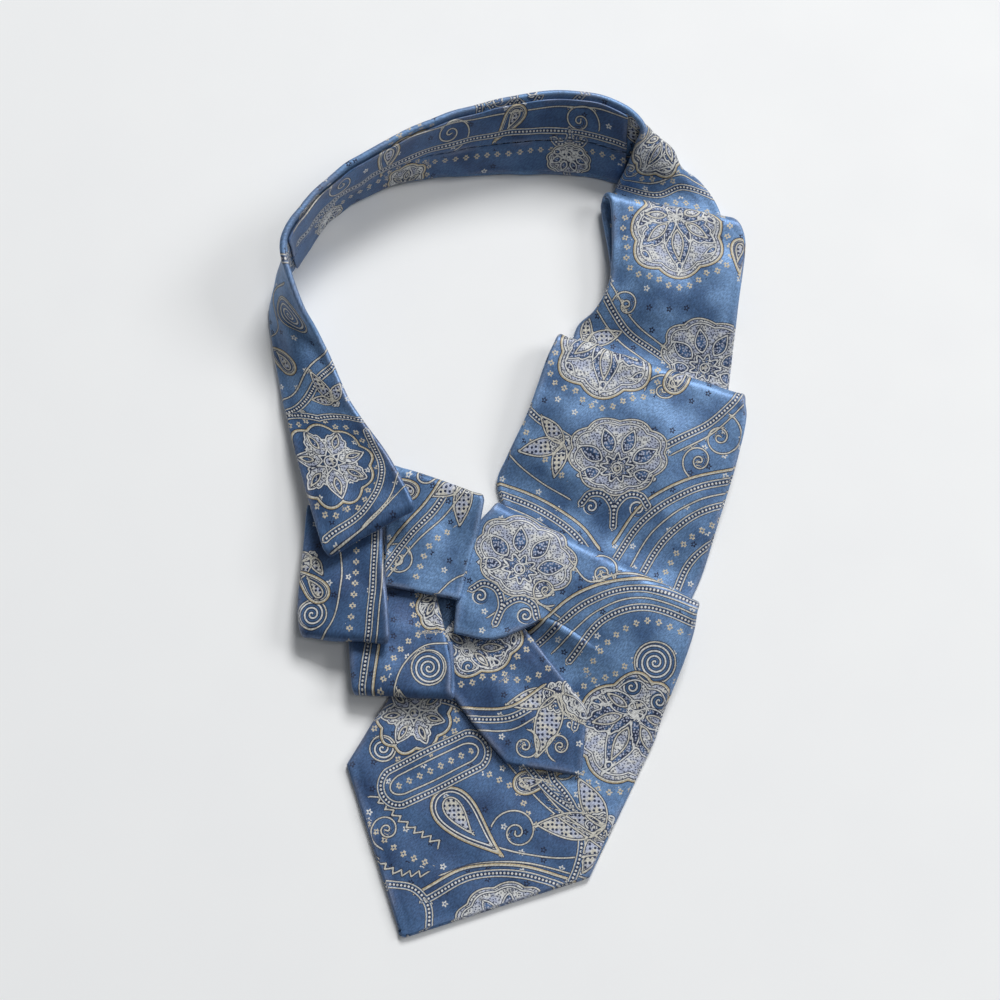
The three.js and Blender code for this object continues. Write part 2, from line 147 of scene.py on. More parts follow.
WIDE_LOWER = [
    dict(at="under the fold", left=(-26, -38, 1.2), inner=(-9, -40, 1.2), tuck=(10, -48.5, 1.4),
         crease=(16, -47, 8.4), outer=(38, -60, 7.2), right=(62.5, -76, 5.4)),
    dict(at="crease foot", left=(-32, -61, 1.2), inner=(-11.5, -58.5, 1.2), tuck=(7, -56.5, 1.3),
         crease=(13.5, -54.5, 3), outer=(35.5, -66.2, 5.4), right=(60, -82, 4)),
    dict(at="slope", left=(-37, -69, 1.2), inner=(-16, -68, 1.2), tuck=(2, -67, 1.2),
         crease=(9, -66.6, 1.6), outer=(32, -76, 3), right=(57, -91, 2.2)),
    dict(at="blade", left=(-44, -80, 1.2), inner=(-24, -82, 1.2), tuck=(-7, -84, 1.2),
         crease=(1, -85, 1.2), outer=(26, -93, 1.3), right=(50, -105.5, 1.2)),
    dict(at="shoulders", sharp=True, left=(-56.1, -100, 1.2), inner=(-38.4, -108.1, 1.2),
         tuck=(-26, -113.8, 1.2), crease=(-20, -116.6, 1.2), outer=(6, -128.5, 1.2),
         right=(32.5, -140.7, 1.2)),
    dict(at="point", left=(-35.6, -160.4, 1.2), inner=(-35.1, -160.7, 1.2), tuck=(-34.7, -160.9, 1.2),
         crease=(-34.2, -161, 1.2), outer=(-33.6, -161, 1.2), right=(-32.8, -160.9, 1.2)),
]
LEFT_UPPER_PLEAT = [
    dict(at="fold", left=(-73.7, -53.9, 7.6), right=(-40.2, -58, 15.4)),
    dict(at="lower", left=(-75, -42, 7.4), right=(-41.1, -43.5, 15)),
    dict(at="upper", left=(-74.1, -25.3, 6.4), right=(-42.9, -29, 13.2)),
    dict(at="hidden end", left=(-72.7, -4, 5.4), right=(-44, -9, 11)),
]
LEFT_LOWER_PLEAT = [
    dict(at="fold", left=(-54.3, -75.2, 7.6), right=(-17.6, -77.4, 10.6)),
    dict(at="lower", left=(-55.2, -65.2, 7.4), right=(-17.7, -65.2, 10.4)),
    dict(at="upper", left=(-56.1, -53, 5.8), right=(-19.8, -54, 9)),
    dict(at="hidden end", left=(-56.5, -36, 4), right=(-24.5, -35, 6)),
]
CROSSOVER = [
    dict(at="top fold", left=(-41, 12.4, 7), right=(-5.6, -0.9, 13.2)),
    dict(at="upper", left=(-42.5, -4, 7.6), right=(-8, -15, 11.9)),
    dict(at="lower", left=(-43, -20, 8), right=(-11.5, -28, 11.1)),
    dict(at="bottom edge", left=(-43.4, -34, 8.2), right=(-14.4, -40.1, 10.9)),
]
NARROW_END = [
    dict(at="point", left=(28, -103.9, 4.4), right=(29.3, -103, 4.4)),
    dict(at="shoulders", sharp=True, left=(2, -100, 4.2), right=(31.9, -80.2, 5.8)),
    dict(at="middle", left=(-9, -87, 4.2), right=(19, -63.2, 6)),
    dict(at="under the fold", left=(-17.7, -75.4, 4.1), right=(7.6, -48.4, 5.5)),
    dict(at="hidden end", left=(-29, -61, 4.1), right=(-3.5, -34, 4.1)),
]
shoulders = next(row for row in WIDE_LOWER if row["at"] == "shoulders")
print("rows round the neck:", len(NECK_RUN))
print("wide blade:", round(math.dist(shoulders["left"], shoulders["right"]), 1), "mm across")

# %% [markdown]
# ## From sections to a surface
# A centripetal Catmull-Rom line goes through every section without looping, even where rows are close. A
# pleat starts at its fold line: the cloth rolls over there and runs back underneath. The same few helpers
# then serve the whole cravat.

# %% Smooth surfaces
TINY = 1e-12  # keeps a division by nought away
NO_GAP = 1e-6  # mm, the least distance between two rows


def unit(vectors):
    """The same directions, each with a length of one."""
    return vectors / np.maximum(np.linalg.norm(vectors, axis=-1, keepdims=True), TINY)


def section(row):
    """Control points of one section, drawn in at both ends to leave room for the rounded sides."""
    across = np.array([row[name] for name in COLUMNS if name in row], float)
    reach = min(EDGE_REACH, END_SHARE * np.linalg.norm(across[-1] - across[0]))
    start = across[0] + reach * unit(across[1] - across[0])
    end = across[-1] + reach * unit(across[-2] - across[-1])
    across[0], across[-1] = start, end
    if len(across) > 2:
        return across
    middle = across.mean(0) + row.get("bulge", (0, 0, 0))
    return np.array([across[0], middle, across[1]])


def turn_under(sections, roll, under, left_out=-TUCK_IN, right_out=-TUCK_IN):
    """Rolls the cloth over at its fold line and carries it back underneath for a length."""
    fold, following = sections[0], sections[1]
    side = np.linspace(-left_out, right_out, len(fold))[:, None] * unit(fold[-1] - fold[0])
    steps = following - fold
    steps[:, 2] = 0
    inward = unit(unit(steps).sum(0))
    top = fold + inward * (roll + CLOTH / 2)
    up = np.array([0, 0, 1.0])
    hidden = [top - up * 2 * roll + inward * length + side for length in (under, under / 2)]
    arc = []
    for degrees in np.arange(180, 0, -ROLL_STEP):
        turn = math.radians(degrees)
        lowered = up * roll * (1 - math.cos(turn)) + inward * roll * math.sin(turn)
        arc.append(top - lowered + side * degrees / 180)
    return [*hidden, *arc, top, *sections[1:]]


def through(points, counts):
    """Points on smooth lines through rows of points, with a count for each span between two rows."""
    points = np.asarray(points, float)
    padded = np.concatenate([[2 * points[0] - points[1]], points, [2 * points[-1] - points[-2]]])
    gap = np.maximum(np.linalg.norm(np.diff(padded, axis=0), axis=-1, keepdims=True), NO_GAP) ** 0.5
    line = []
    for k, count in enumerate(counts):
        before, here, there, beyond = padded[k:k + 4]
        gap_in, span, gap_out = gap[k:k + 3]
        leave = ((here - before) / gap_in - (there - before) / (gap_in + span)) * span + there - here
        arrive = ((beyond - there) / gap_out - (beyond - here) / (span + gap_out)) * span + there - here
        for step in range(count):
            t = step / count
            curve = (2 * t**3 - 3 * t**2 + 1) * here + (3 * t**2 - 2 * t**3) * there
            line.append(curve + (t**3 - 2 * t**2 + t) * leave + (t**3 - t**2) * arrive)
    return np.array([*line, points[-1]])


def smooth_grid(rows, fold=None, width=0.0):
    """Grid [along, across] over a table, and its row where a fold ends. A sharp row breaks the smooth run."""
    ends = [0, *[k for k, row in enumerate(rows) if row.get("sharp")], len(rows) - 1]
    runs, folded = [], 0
    width = width or max(math.dist(row["left"], row["right"]) for row in rows)
    for run, (first, last) in enumerate(zip(ends, ends[1:])):
        sections = [section(row) for row in rows[first:last + 1]]
        if fold and run == 0:
            sections = turn_under(sections, **fold)
        spans = len(sections[0]) - 1
        wide = np.array([through(row, [round(width / STEP / spans)] * spans) for row in sections])
        lengths = np.linalg.norm(np.diff(wide, axis=0), axis=-1).mean(1)
        counts = np.maximum(1, np.round(lengths / STEP)).astype(int)
        if fold and run == 0:
            folded = counts[:len(sections) - last + first - 1].sum()
        grid = through(wide, counts)
        runs.append(grid if run == 0 else grid[1:])
    return np.concatenate(runs), folded


print("points of the narrow end:", smooth_grid(NARROW_END)[0].shape[:2])

# %% [markdown]
# ## Cloth coordinates
# The pattern is woven, so it must follow the cloth, not the room. Every point gets its place in the silk in
# millimetres. On a stretch that lies on the table this is its plan, carried on round the fold by the length
# of the arc. On the band, which stands and twists, it is the distance across and along the cloth. An
# unwrapped UV map would follow the cloth too, but would not know its millimetres.

# %% Cloth coordinates
def along_and_across(grid):
    """Millimetres across the cloth from its middle, and along it from its start."""
    across = np.linalg.norm(np.diff(grid, axis=1), axis=-1).cumsum(1)
    across = np.concatenate([np.zeros((len(grid), 1)), across], 1)
    across -= across[:, -1:] / 2
    steps = np.linalg.norm(np.diff(grid, axis=0), axis=-1).mean(1).cumsum()
    along = np.concatenate([[0], steps])[:, None] + np.zeros_like(across)
    return np.stack([across, along], -1)


def laid_flat(grid, folded):
    """The plan of a stretch, unrolled where its fold turns under."""
    flat = grid[..., :2].copy()
    inward = unit((flat[-1] - flat[folded]).mean(0))
    for row in range(folded - 1, -1, -1):
        step = np.linalg.norm(grid[row + 1] - grid[row], axis=-1, keepdims=True)
        flat[row] = flat[row + 1] - inward * step
    return flat


print("cloth round the neck:", round(along_and_across(smooth_grid(NECK_RUN)[0])[-1, 0, 1]), "mm")

# %% [markdown]
# ## Drawing the paisley
# A figured silk is drawn as lines first: bands, scalloped medallions, leaves and drops. Each motif here is a
# short formula of unit size, so one drawing serves at every size and turn, where an image would blur. A
# stroke says what the loom does with the line, and what fills it.

# %% Motifs
from collections import namedtuple

Stroke = namedtuple("Stroke", "points kind fill closed", defaults=[0, True])
FLOWERS, BEADS, CORD, LINE, VEIN, SWIRL = range(6)  # how a line is woven
# the deep ground fills motifs of the design, and in the shade cells it is painted shade
PLAIN, DEEP_GROUND_AND_SHADE, LACE, LEAF, PETAL = range(5)  # what lies inside it
LEAF_FULL = 0.8  # a power below one puts the widest part of a leaf nearer its base
TEETH_FROM, TOOTH = 0.35, 0.45  # share of a leaf that is smooth, and depth of a tooth as a share of its side
DROP_TAPER = 1.3  # a higher power makes the tip of a drop thinner


def angles(count):
    """Angles once round, evenly spaced."""
    return np.linspace(0, 2 * math.pi, count, endpoint=False)


def turned(strokes, centre, turn, size):
    """A unit drawing at its place, turned by degrees and made its size."""
    cosine, sine = math.cos(math.radians(turn)), math.sin(math.radians(turn))
    matrix = size * np.array([[cosine, sine], [-sine, cosine]])
    return [stroke._replace(points=np.asarray(stroke.points) @ matrix + centre) for stroke in strokes]


def scallops(lobes, wide, depth, pear):
    """A round outline of even lobes, fuller at one end if it is pear-shaped."""
    turn = angles(240)
    reach = 1 - depth * (1 - np.abs(np.sin(lobes * turn / 2)))
    return np.stack([wide * (1 - pear * np.cos(turn)) * reach * np.sin(turn), reach * np.cos(turn)], -1)


def petal(wide, teeth=0):
    """A leaf from the origin to its tip at (0, 1), with saw teeth on its outer part if asked."""
    height = np.linspace(0, 1, 61)
    saw = ((height * teeth) % 1) * (height > TEETH_FROM) if teeth else 0
    side = wide * np.sin(math.pi * height ** LEAF_FULL) * (1 + TOOTH * saw)
    left, right = np.stack([-side, height], -1), np.stack([side, height], -1)
    return np.concatenate([left, right[-2:0:-1]])


def circle(centre, radius):
    """A plain ring."""
    turn = angles(24)
    return np.stack([np.sin(turn), np.cos(turn)], -1) * radius + centre


def drop(wide, bend):
    """The paisley drop: round below, with its tip above bent to one side."""
    turn = angles(120)
    height = np.cos(turn)
    across = wide * np.sin(turn) * np.sin(turn / 2) ** DROP_TAPER + bend * ((height + 1) / 2) ** 2
    return np.stack([across, height], -1)


print("points of a drop:", len(drop(wide=1, bend=0)))

# %% [markdown]
# ## Large figures
# The showpieces of the design are shields filled with lace or set on a deep ground. Each is an outline with
# petals turned round its middle, so a short table of turns and sizes is enough.

# %% Large figures
def medallion():
    """A corded shield of lace with a fan of leaves, a row of flowers outside and two curls."""
    lobes, pear = 7, 0.2
    rim = scallops(lobes, wide=0.92, depth=0.13, pear=pear)
    strokes = [Stroke(rim, CORD, LACE), Stroke(rim * 1.19, FLOWERS), Stroke(rim * 0.87, VEIN)]
    for turn, size, teeth in ((180, 1.14, 0), (130, 0.96, 5), (230, 0.96, 5), (84, 0.74, 0), (276, 0.74, 0)):
        inner = Stroke(petal(wide=0.17) * 0.56 + (0, 0.26), LINE, LACE)
        outer = Stroke(petal(wide=0.23, teeth=teeth), VEIN, PETAL)
        strokes += turned([outer, inner], (0, 0.3), turn, size)
    for lobe in range(1, lobes - 1):
        turn = 2 * math.pi * (lobe + 0.5) / lobes
        at = np.array([0.72 * (1 - pear * math.cos(turn)) * math.sin(turn), 0.8 * math.cos(turn)])
        bud = Stroke(drop(wide=0.6, bend=0.3), VEIN, PETAL)
        strokes += turned([bud], at, math.degrees(turn), size=0.13)
    strokes.append(Stroke(circle((0, 0.36), 0.16), VEIN, LEAF))
    return strokes + [Stroke([(side * 0.27, 0.66), (side * 0.27, 0.49)], SWIRL) for side in (-1, 1)]


def bouquet():
    """Seven lace petals on a deep ground inside a corded rim, with a row of flowers outside."""
    rim = scallops(lobes=9, wide=0.92, depth=0.12, pear=0.1)
    middle = Stroke(circle((0, -0.05), 0.13), VEIN, LEAF)
    strokes = [Stroke(rim, CORD, DEEP_GROUND_AND_SHADE), Stroke(rim * 1.17, FLOWERS), middle]
    for turn, size, teeth in ((0, 0.7, 0), (52, 0.66, 4), (104, 0.62, 0), (154, 0.68, 4), (206, 0.68, 4),
                              (256, 0.62, 0), (308, 0.66, 4)):
        base = (-0.17 * math.sin(math.radians(turn)), 0.17 * math.cos(math.radians(turn)) - 0.05)
        inner = Stroke(petal(wide=0.17) * 0.56 + (0, 0.3), LINE, PETAL)
        outer = Stroke(petal(wide=0.29, teeth=teeth), VEIN, LACE)
        strokes += turned([outer, inner], base, turn, size)
    return strokes


def palmette():
    """A broad shield of lace with six petals round a star, on two beaded arms."""
    rim = scallops(lobes=9, wide=1.3, depth=0.1, pear=-0.12)
    strokes = [Stroke(rim, LINE, LACE), Stroke(rim * 0.88, VEIN)]
    for turn, size in ((-104, 0.6), (104, 0.6), (-62, 0.68), (62, 0.68), (-21, 0.64), (21, 0.64)):
        base = (-0.46 * math.sin(math.radians(turn)), 0.42 * math.cos(math.radians(turn)) - 0.3)
        strokes += turned([Stroke(petal(wide=0.26), VEIN, PETAL)], base, turn, size)
    round_star = angles(72)
    star = np.stack([1.2 * np.sin(round_star), np.cos(round_star)], -1)
    star = (0.3 + 0.08 * np.cos(9 * round_star))[:, None] * star
    strokes += [Stroke(star - (0, 0.3), VEIN, PETAL), Stroke(circle((0, -0.3), 0.13), VEIN, LEAF)]
    for side in (-1, 1):
        arm = [(0, -1.75), (0.03, -1.3), (0.3, -0.98), (0.66, -0.98), (0.84, -1.2)]
        strokes.append(Stroke(through(np.array(arm) * (side, 1), [8] * 4), BEADS, PLAIN, False))
        strokes.append(Stroke([(0.6 * side, -1.3), (0.6 * side, -1.09)], SWIRL))
    return strokes


def spray():
    """Three dotted leaves from one bud."""
    bud = scallops(lobes=9, wide=0.9, depth=0.2, pear=0) * 0.24 + (0, 0.05)
    strokes = [Stroke(bud, VEIN, LACE)]
    for turn, size in ((-64, 0.8), (62, 0.74), (-4, 1.0)):
        strokes += turned([Stroke(petal(wide=0.2), LINE, LEAF)], (0, 0), turn, size)
    return strokes + [Stroke(circle((0, 0), 0.12), VEIN, PETAL)]


print("strokes of a medallion:", len(medallion()))

# %% [markdown]
# ## Small figures
# Drops, ovals, spirals and tendrils fill the room between the shields. The shade cell is no figure of the
# silk: it is painted shade, a large area of deep ground with a beaded edge, laid where a stretch lies in
# shadow.

# %% Small figures
def paisley():
    """A corded drop on a deep ground with a dotted leaf inside."""
    echo = Stroke(drop(wide=0.7, bend=-0.8) * 0.84 - (0.01, 0.06), VEIN)
    inner = Stroke(drop(wide=0.62, bend=-0.5) * 0.52 - (0.03, 0.24), LINE, LEAF)
    return [Stroke(drop(wide=0.72, bend=-0.8), CORD, DEEP_GROUND_AND_SHADE), echo, inner]


def pill():
    """A long beaded oval with a row of flowers down the middle."""
    turn = angles(120)
    out = np.stack([np.sin(turn), np.cos(turn) + 2.0 * np.clip(4 * np.cos(turn), -1, 1)], -1) / 3
    middle = Stroke([(0, -0.68), (0, 0), (0, 0.68)], FLOWERS, PLAIN, False)
    return [Stroke(out, BEADS), Stroke(out * (0.52, 0.84), LINE, DEEP_GROUND_AND_SHADE), middle]


def swirl():
    """A spiral inside a thin ring."""
    return [Stroke([(0, 0), (0, 1)], SWIRL), Stroke(circle((0, 0), 1.08), LINE, DEEP_GROUND_AND_SHADE)]


def scroll():
    """A thin tendril that uncurls."""
    run = np.linspace(0.12, 1.4, 80)
    reach = run + 1.4 * np.maximum(run - 0.95, 0)  # it opens out at the end
    coil = reach[:, None] * np.stack([np.cos(9.5 * run), np.sin(9.5 * run)], -1)
    return [Stroke(coil, LINE, PLAIN, False)]


def cell():
    """Painted shade: a large area of deep ground with a beaded edge, for a stretch that lies in shadow."""
    return [Stroke(scallops(lobes=9, wide=1, depth=0.06, pear=0), BEADS, DEEP_GROUND_AND_SHADE)]


MOTIFS = dict(medallion=medallion, bouquet=bouquet, palmette=palmette, spray=spray, paisley=paisley,
              pill=pill, swirl=swirl, scroll=scroll, cell=cell)
print("motifs:", *MOTIFS)

# %% [markdown]
# ## Bands and lines
# Bands wander between the figures in long easy curves. A smooth line through a few points gives the curve,
# and a saw wave set off to one side of it gives the flame lines their teeth.

# %% Bands and lines
LINE_STEPS = 24  # steps from one point of a band to the next
FLAME_TEETH, FLAME_PITCH = 2.6, 3.4  # mm, depth and spacing of the teeth of a flame line
TOOTH_STEPS = 6  # points along a tooth


def wandering(points, kind, teeth=0.0):
    """A band or line along given points. Teeth make it a saw-edged flame line."""
    line = through(np.array(points, float), [LINE_STEPS] * (len(points) - 1))
    if teeth:
        run = np.concatenate([[0], np.linalg.norm(np.diff(line, axis=0), axis=-1).cumsum()])
        even = np.arange(0, run[-1], FLAME_PITCH / TOOTH_STEPS)
        line = np.stack([np.interp(even, run, line[:, k]) for k in range(2)], -1)
        side = unit(np.gradient(line, axis=0))[:, ::-1] * (-1, 1)
        line = line + side * teeth * ((even / FLAME_PITCH) % 1)[:, None]
    return Stroke(line, kind, PLAIN, False)


print("points of a short flame line:", len(wandering([(0, 0), (9, 3), (20, 0)], LINE, FLAME_TEETH).points))

# %% [markdown]
# ## Where the motifs fall
# The maker pleats the finished silk, so each stretch shows whatever part of the design lands there. The
# tables place the motifs on each stretch, in its own coordinates in millimetres, with a turn and a size. The
# shade cells among them are painted shade: a deeper ground on the stretches that lie in shadow.

# %% Layout
FLAME = -1  # a saw-edged line
# painted shade: each shade cell darkens the stretch, or the part of it, that lies in shadow; on the flaps it
# covers the whole inside of the band
LAYOUT = {  # on each stretch the motifs, then the bands and lines
    "upper_pleat": [
        ("medallion", (68.5, 105), 3, 19.5), ("palmette", (80, 56), -14, 14),
        ("paisley", (91, 95), 152, 6.5), ("spray", (33, 62), -68, 15), ("scroll", (49, 76), 200, 3.4),
        (LINE, (37, 94), (44, 82), (52, 70), (64, 60)), (BEADS, (35, 90), (41, 79), (49, 67), (62, 57)),
        (LINE, (32, 84), (38, 74), (46, 63), (58, 53)),
    ],
    "middle_pleat": [
        ("medallion", (41, 57), -8, 20), ("palmette", (44.5, 15), -4, 14.5), ("spray", (24, 20), 102, 17),
        ("scroll", (83, 22), 20, 4.6), ("scroll", (75, 13), 190, 3.4), ("paisley", (70, 44), -70, 8),
        ("scroll", (62, 40), 130, 3.4),
        (BEADS, (4, 42), (13, 31), (26, 22)), (BEADS, (97, 44), (80, 28), (63, 19)),
        (BEADS, (41, -27), (54, -9), (72, 2), (96, 7)), (BEADS, (51, -33), (62, -16), (76, -6), (96, -2)),
        (BEADS, (-9, 5), (14, -4), (28, -14), (38, -28)),
        (BEADS, (-9, -3), (10, -11), (22, -20), (30, -32)),
        (LINE, (47, -30), (58, -12.5), (74, -2), (96, 2.5)),
        (LINE, (-9, 1), (12, -7.5), (25, -17), (34, -30)),
        (FLOWERS, (60, -32), (69, -18), (80, -11), (96, -7)), (FLOWERS, (6, 32), (14, 18), (24, 8)),
        (LINE, (-2, 24), (6, 14), (16, 6), (26, 0)), (LINE, (97, 39), (81, 24), (65, 15.5)),
        (BEADS, (64, -40), (72, -24), (83, -16), (98, -12)),
        (CORD, (-9, 9), (15, 0), (31, -11), (37, -19)), (CORD, (43, -17), (53, -3.5), (70, 6), (96, 11)),
    ],
    "wide_end": [
        ("cell", (-27, -133), 20, 57), ("palmette", (9, -25), -24, 15), ("medallion", (47, -87), -28, 21),
        ("swirl", (57, -63.5), 0, 7), ("pill", (-24, -102), -64, 21),
        ("paisley", (-15.5, -123), 200, 14.5), ("scroll", (6, -125), 120, 4.6),
        ("spray", (38, -123), 92, 25), ("bouquet", (-32, -82), 150, 15), ("swirl", (-43, -94.5), 0, 4.4),
        ("scroll", (38, -31), 60, 3.2), ("scroll", (-41, -124), 210, 3.4),
        ("paisley", (13, -108), -100, 8), ("palmette", (1, -156), 16, 13), ("scroll", (17, -37), 250, 3),
        ("scroll", (22, -101), 30, 3.6),
        (CORD, (10, -53), (30, -37.5), (51, -33), (82, -42.5)), (LINE, (2, -99), (16, -115), (36, -130)),
        (CORD, (-30, -146.5), (-12, -137.5), (8, -137), (32, -144)),
        (LINE, (-4, -47), (4, -42), (14, -42), (24, -48)),
        (BEADS, (14, -56), (33, -41), (52, -36.5), (80, -46)),
        (BEADS, (26, -62), (38, -48), (53, -43.5), (78, -52)),
        (LINE, (20, -59), (36, -44.5), (52.5, -40), (79, -49)),
        (FLOWERS, (32, -66), (42, -54), (54, -48.5), (68, -53)),
        (BEADS, (6, -96), (20, -112), (38, -123)),
        (BEADS, (-44, -143), (-31, -145), (-26, -151), (-26, -166)),
        (BEADS, (-27, -149), (-10, -140.5), (8, -140), (30, -147)),
        (LINE, (-21, -140), (-8, -136), (10, -136), (34, -142)),
        (LINE, (-2, -130), (8, -132.5), (22, -134), (36, -133)),
        (LINE, (26, -26), (33, -34), (44, -31), (58, -33)), (LINE, (9, -101), (22, -117), (36, -127)),
        (FLAME, (-47, -112), (-33, -124), (-22, -130)), (FLAME, (-50, -132), (-39, -139.5), (-26, -141)),
        (FLOWERS, (-48, -122), (-36, -132), (-26, -136)), (FLOWERS, (-4, -104), (6, -110), (10, -118)),
    ],
    "narrow_end": [
        ("cell", (0, -75), 0, 60), ("spray", (21, -75), 166, 24), ("palmette", (30, -77), -50, 7),
        ("medallion", (-8, -54), 140, 16), ("scroll", (9, -94), 30, 3), ("scroll", (22, -94), 200, 2.8),
        (BEADS, (-16, -84), (4, -83.5), (19, -75)), (LINE, (-14, -88), (4, -88), (14, -83)),
        (CORD, (-16, -80), (4, -79.5), (16, -72)), (FLOWERS, (2, -70), (12, -69), (20, -64)),
    ],
    "left_upper_pleat": [
        ("cell", (-60, -40), 0, 60), ("swirl", (-69, -46), 0, 5), ("spray", (-70, -24), 150, 12),
        ("paisley", (-68, -34), 20, 8),
        (BEADS, (-46, 0), (-46.5, -30), (-48.5, -62)),
        (LINE, (-60, -14), (-58.5, -34), (-62, -50), (-70, -58)),
        (FLOWERS, (-53, -14), (-53.5, -36), (-56, -60)), (LINE, (-42.5, 0), (-43, -30), (-45, -60)),
    ],
    "left_lower_pleat": [
        ("cell", (-36, -60), 0, 60), ("swirl", (-26, -66), 0, 6), ("medallion", (-22, -42), 20, 10),
        ("spray", (-34, -84), 20, 11),
        (BEADS, (-46, -40), (-49, -62), (-51.5, -82)),
        (LINE, (-40, -80), (-36, -66), (-28, -58), (-16, -57)),
        (FLOWERS, (-45, -78), (-40, -64), (-31, -54), (-18, -52)),
        (CORD, (-42, -40), (-45, -62), (-47.5, -82)),
    ],
    "crossover": [
        ("spray", (-13, 4), 178, 17), ("scroll", (-38, -26), 80, 3.6), ("paisley", (-36, 4), 40, 7),
        ("scroll", (-28, 8), 10, 3),
        (BEADS, (-44, -30), (-35, -18), (-24, -6), (-14, 10)), (LINE, (-24, -40), (-17, -33), (-8, -30)),
        (FLOWERS, (-31, -32), (-26, -20), (-18, -14)),
        (LINE, (-41, -31), (-32, -20), (-20, -8), (-10, 4)),
        (CORD, (-46, -26), (-38, -15), (-27, -3), (-18, 12)),
    ],
    "neck_run": [
        ("cell", (-2, 22), 0, 46), ("bouquet", (-4.5, 45), 176, 17.5), ("swirl", (4, 110), 0, 6.5),
        ("spray", (8, 74), 30, 13), ("paisley", (-8, 92), 20, 8), ("palmette", (0, 150), 0, 12),
        ("medallion", (0, 196), 180, 15), ("palmette", (2, 240), 90, 12), ("scroll", (-6, 272), 0, 5),
        ("medallion", (3, 302), 150, 12), ("spray", (12, 284), 60, 14), ("scroll", (-10, 290), 100, 4),
        ("scroll", (14, 310), 20, 4),
        (BEADS, (-20, 66), (-8, 70), (6, 84), (20, 96)), (BEADS, (-16, 20), (2, 24), (12, 36), (15, 58)),
        (LINE, (-18, 100), (-6, 104), (-4, 118), (8, 122)),
        (LINE, (-20, 71), (-9, 75), (4, 89), (18, 101)), (LINE, (-16, 16), (4, 19), (18, 26)),
        (LINE, (-2, 18), (10, 23), (18, 34)), (BEADS, (-20, 124), (-4, 132), (20, 128)),
        (BEADS, (-20, 176), (0, 222), (20, 226)), (BEADS, (-20, 262), (4, 258), (20, 268)),
        (BEADS, (-24, 322), (-8, 317), (4, 322), (24, 318)),
        (LINE, (-20, 318), (-8, 312), (6, 317), (22, 313)),
        (FLOWERS, (-20, 328), (-6, 324), (6, 328), (22, 324)), (FLAME, (-4, 284), (2, 290), (12, 296)),
    ],
    "flaps": [
        ("cell", (0, 215), 0, 130), ("medallion", (-11, 196), 100, 9), ("paisley", (7, 190), 80, 8),
        ("palmette", (-10, 262), 90, 7), ("scroll", (8, 168), 0, 4.4), ("scroll", (8, 214), 120, 4.4),
        ("paisley", (7, 240), 100, 8), ("scroll", (7, 266), 60, 4), ("palmette", (-9, 158), 80, 6),
        (BEADS, (2, 140), (1, 186), (3, 232), (1, 290)),
        (LINE, (13, 140), (14, 186), (12, 232), (14, 290)),
        (FLOWERS, (-7, 150), (-5, 186), (-6, 232), (-5, 290)),
    ],
}


def strokes_of(name):
    """All strokes of a stretch, at their places on its silk."""
    strokes = []
    for kind, *rest in LAYOUT[name]:
        if kind in MOTIFS:
            strokes += turned(MOTIFS[kind](), *rest)
        elif kind == FLAME:
            strokes.append(wandering(rest, LINE, FLAME_TEETH))
        else:
            strokes.append(wandering(rest, kind))
    return strokes


print("motifs and lines placed:", sum(map(len, LAYOUT.values())))

# %% [markdown]
# ## Distance to the drawing
# The material has to know how far each spot lies from the nearest line. That distance changes smoothly, so
# it is worked out once at the points of the mesh and stored as attributes, one for each way of weaving a
# line. The renderer blends it between the points, and the woven lines stay crisp at any size. The plain
# distance goes along with the signed one: half-way between two lines the sign can jump, and only the plain
# one still says that no line is near.

# %% Distance fields
from mathutils.kdtree import KDTree

LINE_SAMPLE = 0.25  # mm between the points that stand for a line
LEAST_POINTS = 4  # points of the shortest line
FAR = 60.0  # mm, for spots with no line near them
FIELDS = {"flowers": FLOWERS, "beads": BEADS, "cord": CORD, "line": LINE, "vein": VEIN}


def resampled(stroke):
    """Points spaced evenly along a stroke, with its direction and the run at each."""
    points = np.asarray(stroke.points, float)
    if stroke.closed:
        points = np.concatenate([points, points[:1]])
    run = np.concatenate([[0], np.linalg.norm(np.diff(points, axis=0), axis=-1).cumsum()])
    even = np.linspace(0, run[-1], max(LEAST_POINTS, int(run[-1] / LINE_SAMPLE)))
    line = np.stack([np.interp(even, run, points[:, k]) for k in range(2)], -1)
    return line, unit(np.gradient(line, axis=0)), even


def nearest(places, among):
    """For each place, which point among some is nearest and how far away it is."""
    tree = KDTree(len(among))
    for k, point in enumerate(among.tolist()):
        tree.insert(point, k)
    tree.balance()
    _, index, distance = zip(*map(tree.find, places.tolist()))
    return np.array(index), np.array(distance)


def on_plane(places):
    """Places on the flat silk as points in space."""
    return np.pad(places, ((0, 0), (0, 1)))


def nearest_line(places, strokes):
    """Signed distance from the nearest stroke, the run along it and the plain distance."""
    if not strokes:
        return np.tile([FAR, 0.0, FAR], (len(places), 1))
    line, along, run = (np.concatenate(column) for column in zip(*map(resampled, strokes)))
    near, _ = nearest(on_plane(places), on_plane(line))
    apart = places - line[near]
    forward = (apart * along[near]).sum(1)
    sideways = apart[:, 1] * along[near][:, 0] - apart[:, 0] * along[near][:, 1]
    distance = np.hypot(sideways, np.maximum(np.abs(forward) - 2 * LINE_SAMPLE, 0))
    return np.stack([np.where(sideways < 0, -distance, distance), run[near] + forward, distance], -1)


print("line points in a palmette:", sum(len(resampled(stroke)[0]) for stroke in palmette()))

# %% [markdown]
# ## What each spot of silk needs to know
# Besides the lines, a spot needs its filling and the nearest spiral. A spot is inside an outline if a ray
# from it crosses the outline an odd number of times.

# %% Fields of a stretch
def inside_of(places, points):
    """Which places lie inside a closed line."""
    inside = np.zeros(len(places), bool)
    x, y = places.T
    for (x0, y0), (x1, y1) in zip(points, np.roll(points, -1, 0)):
        crosses = (y0 > y) != (y1 > y)
        inside ^= crosses & (x < (x1 - x0) * (y - y0) / (y1 - y0 + TINY) + x0)
    return inside


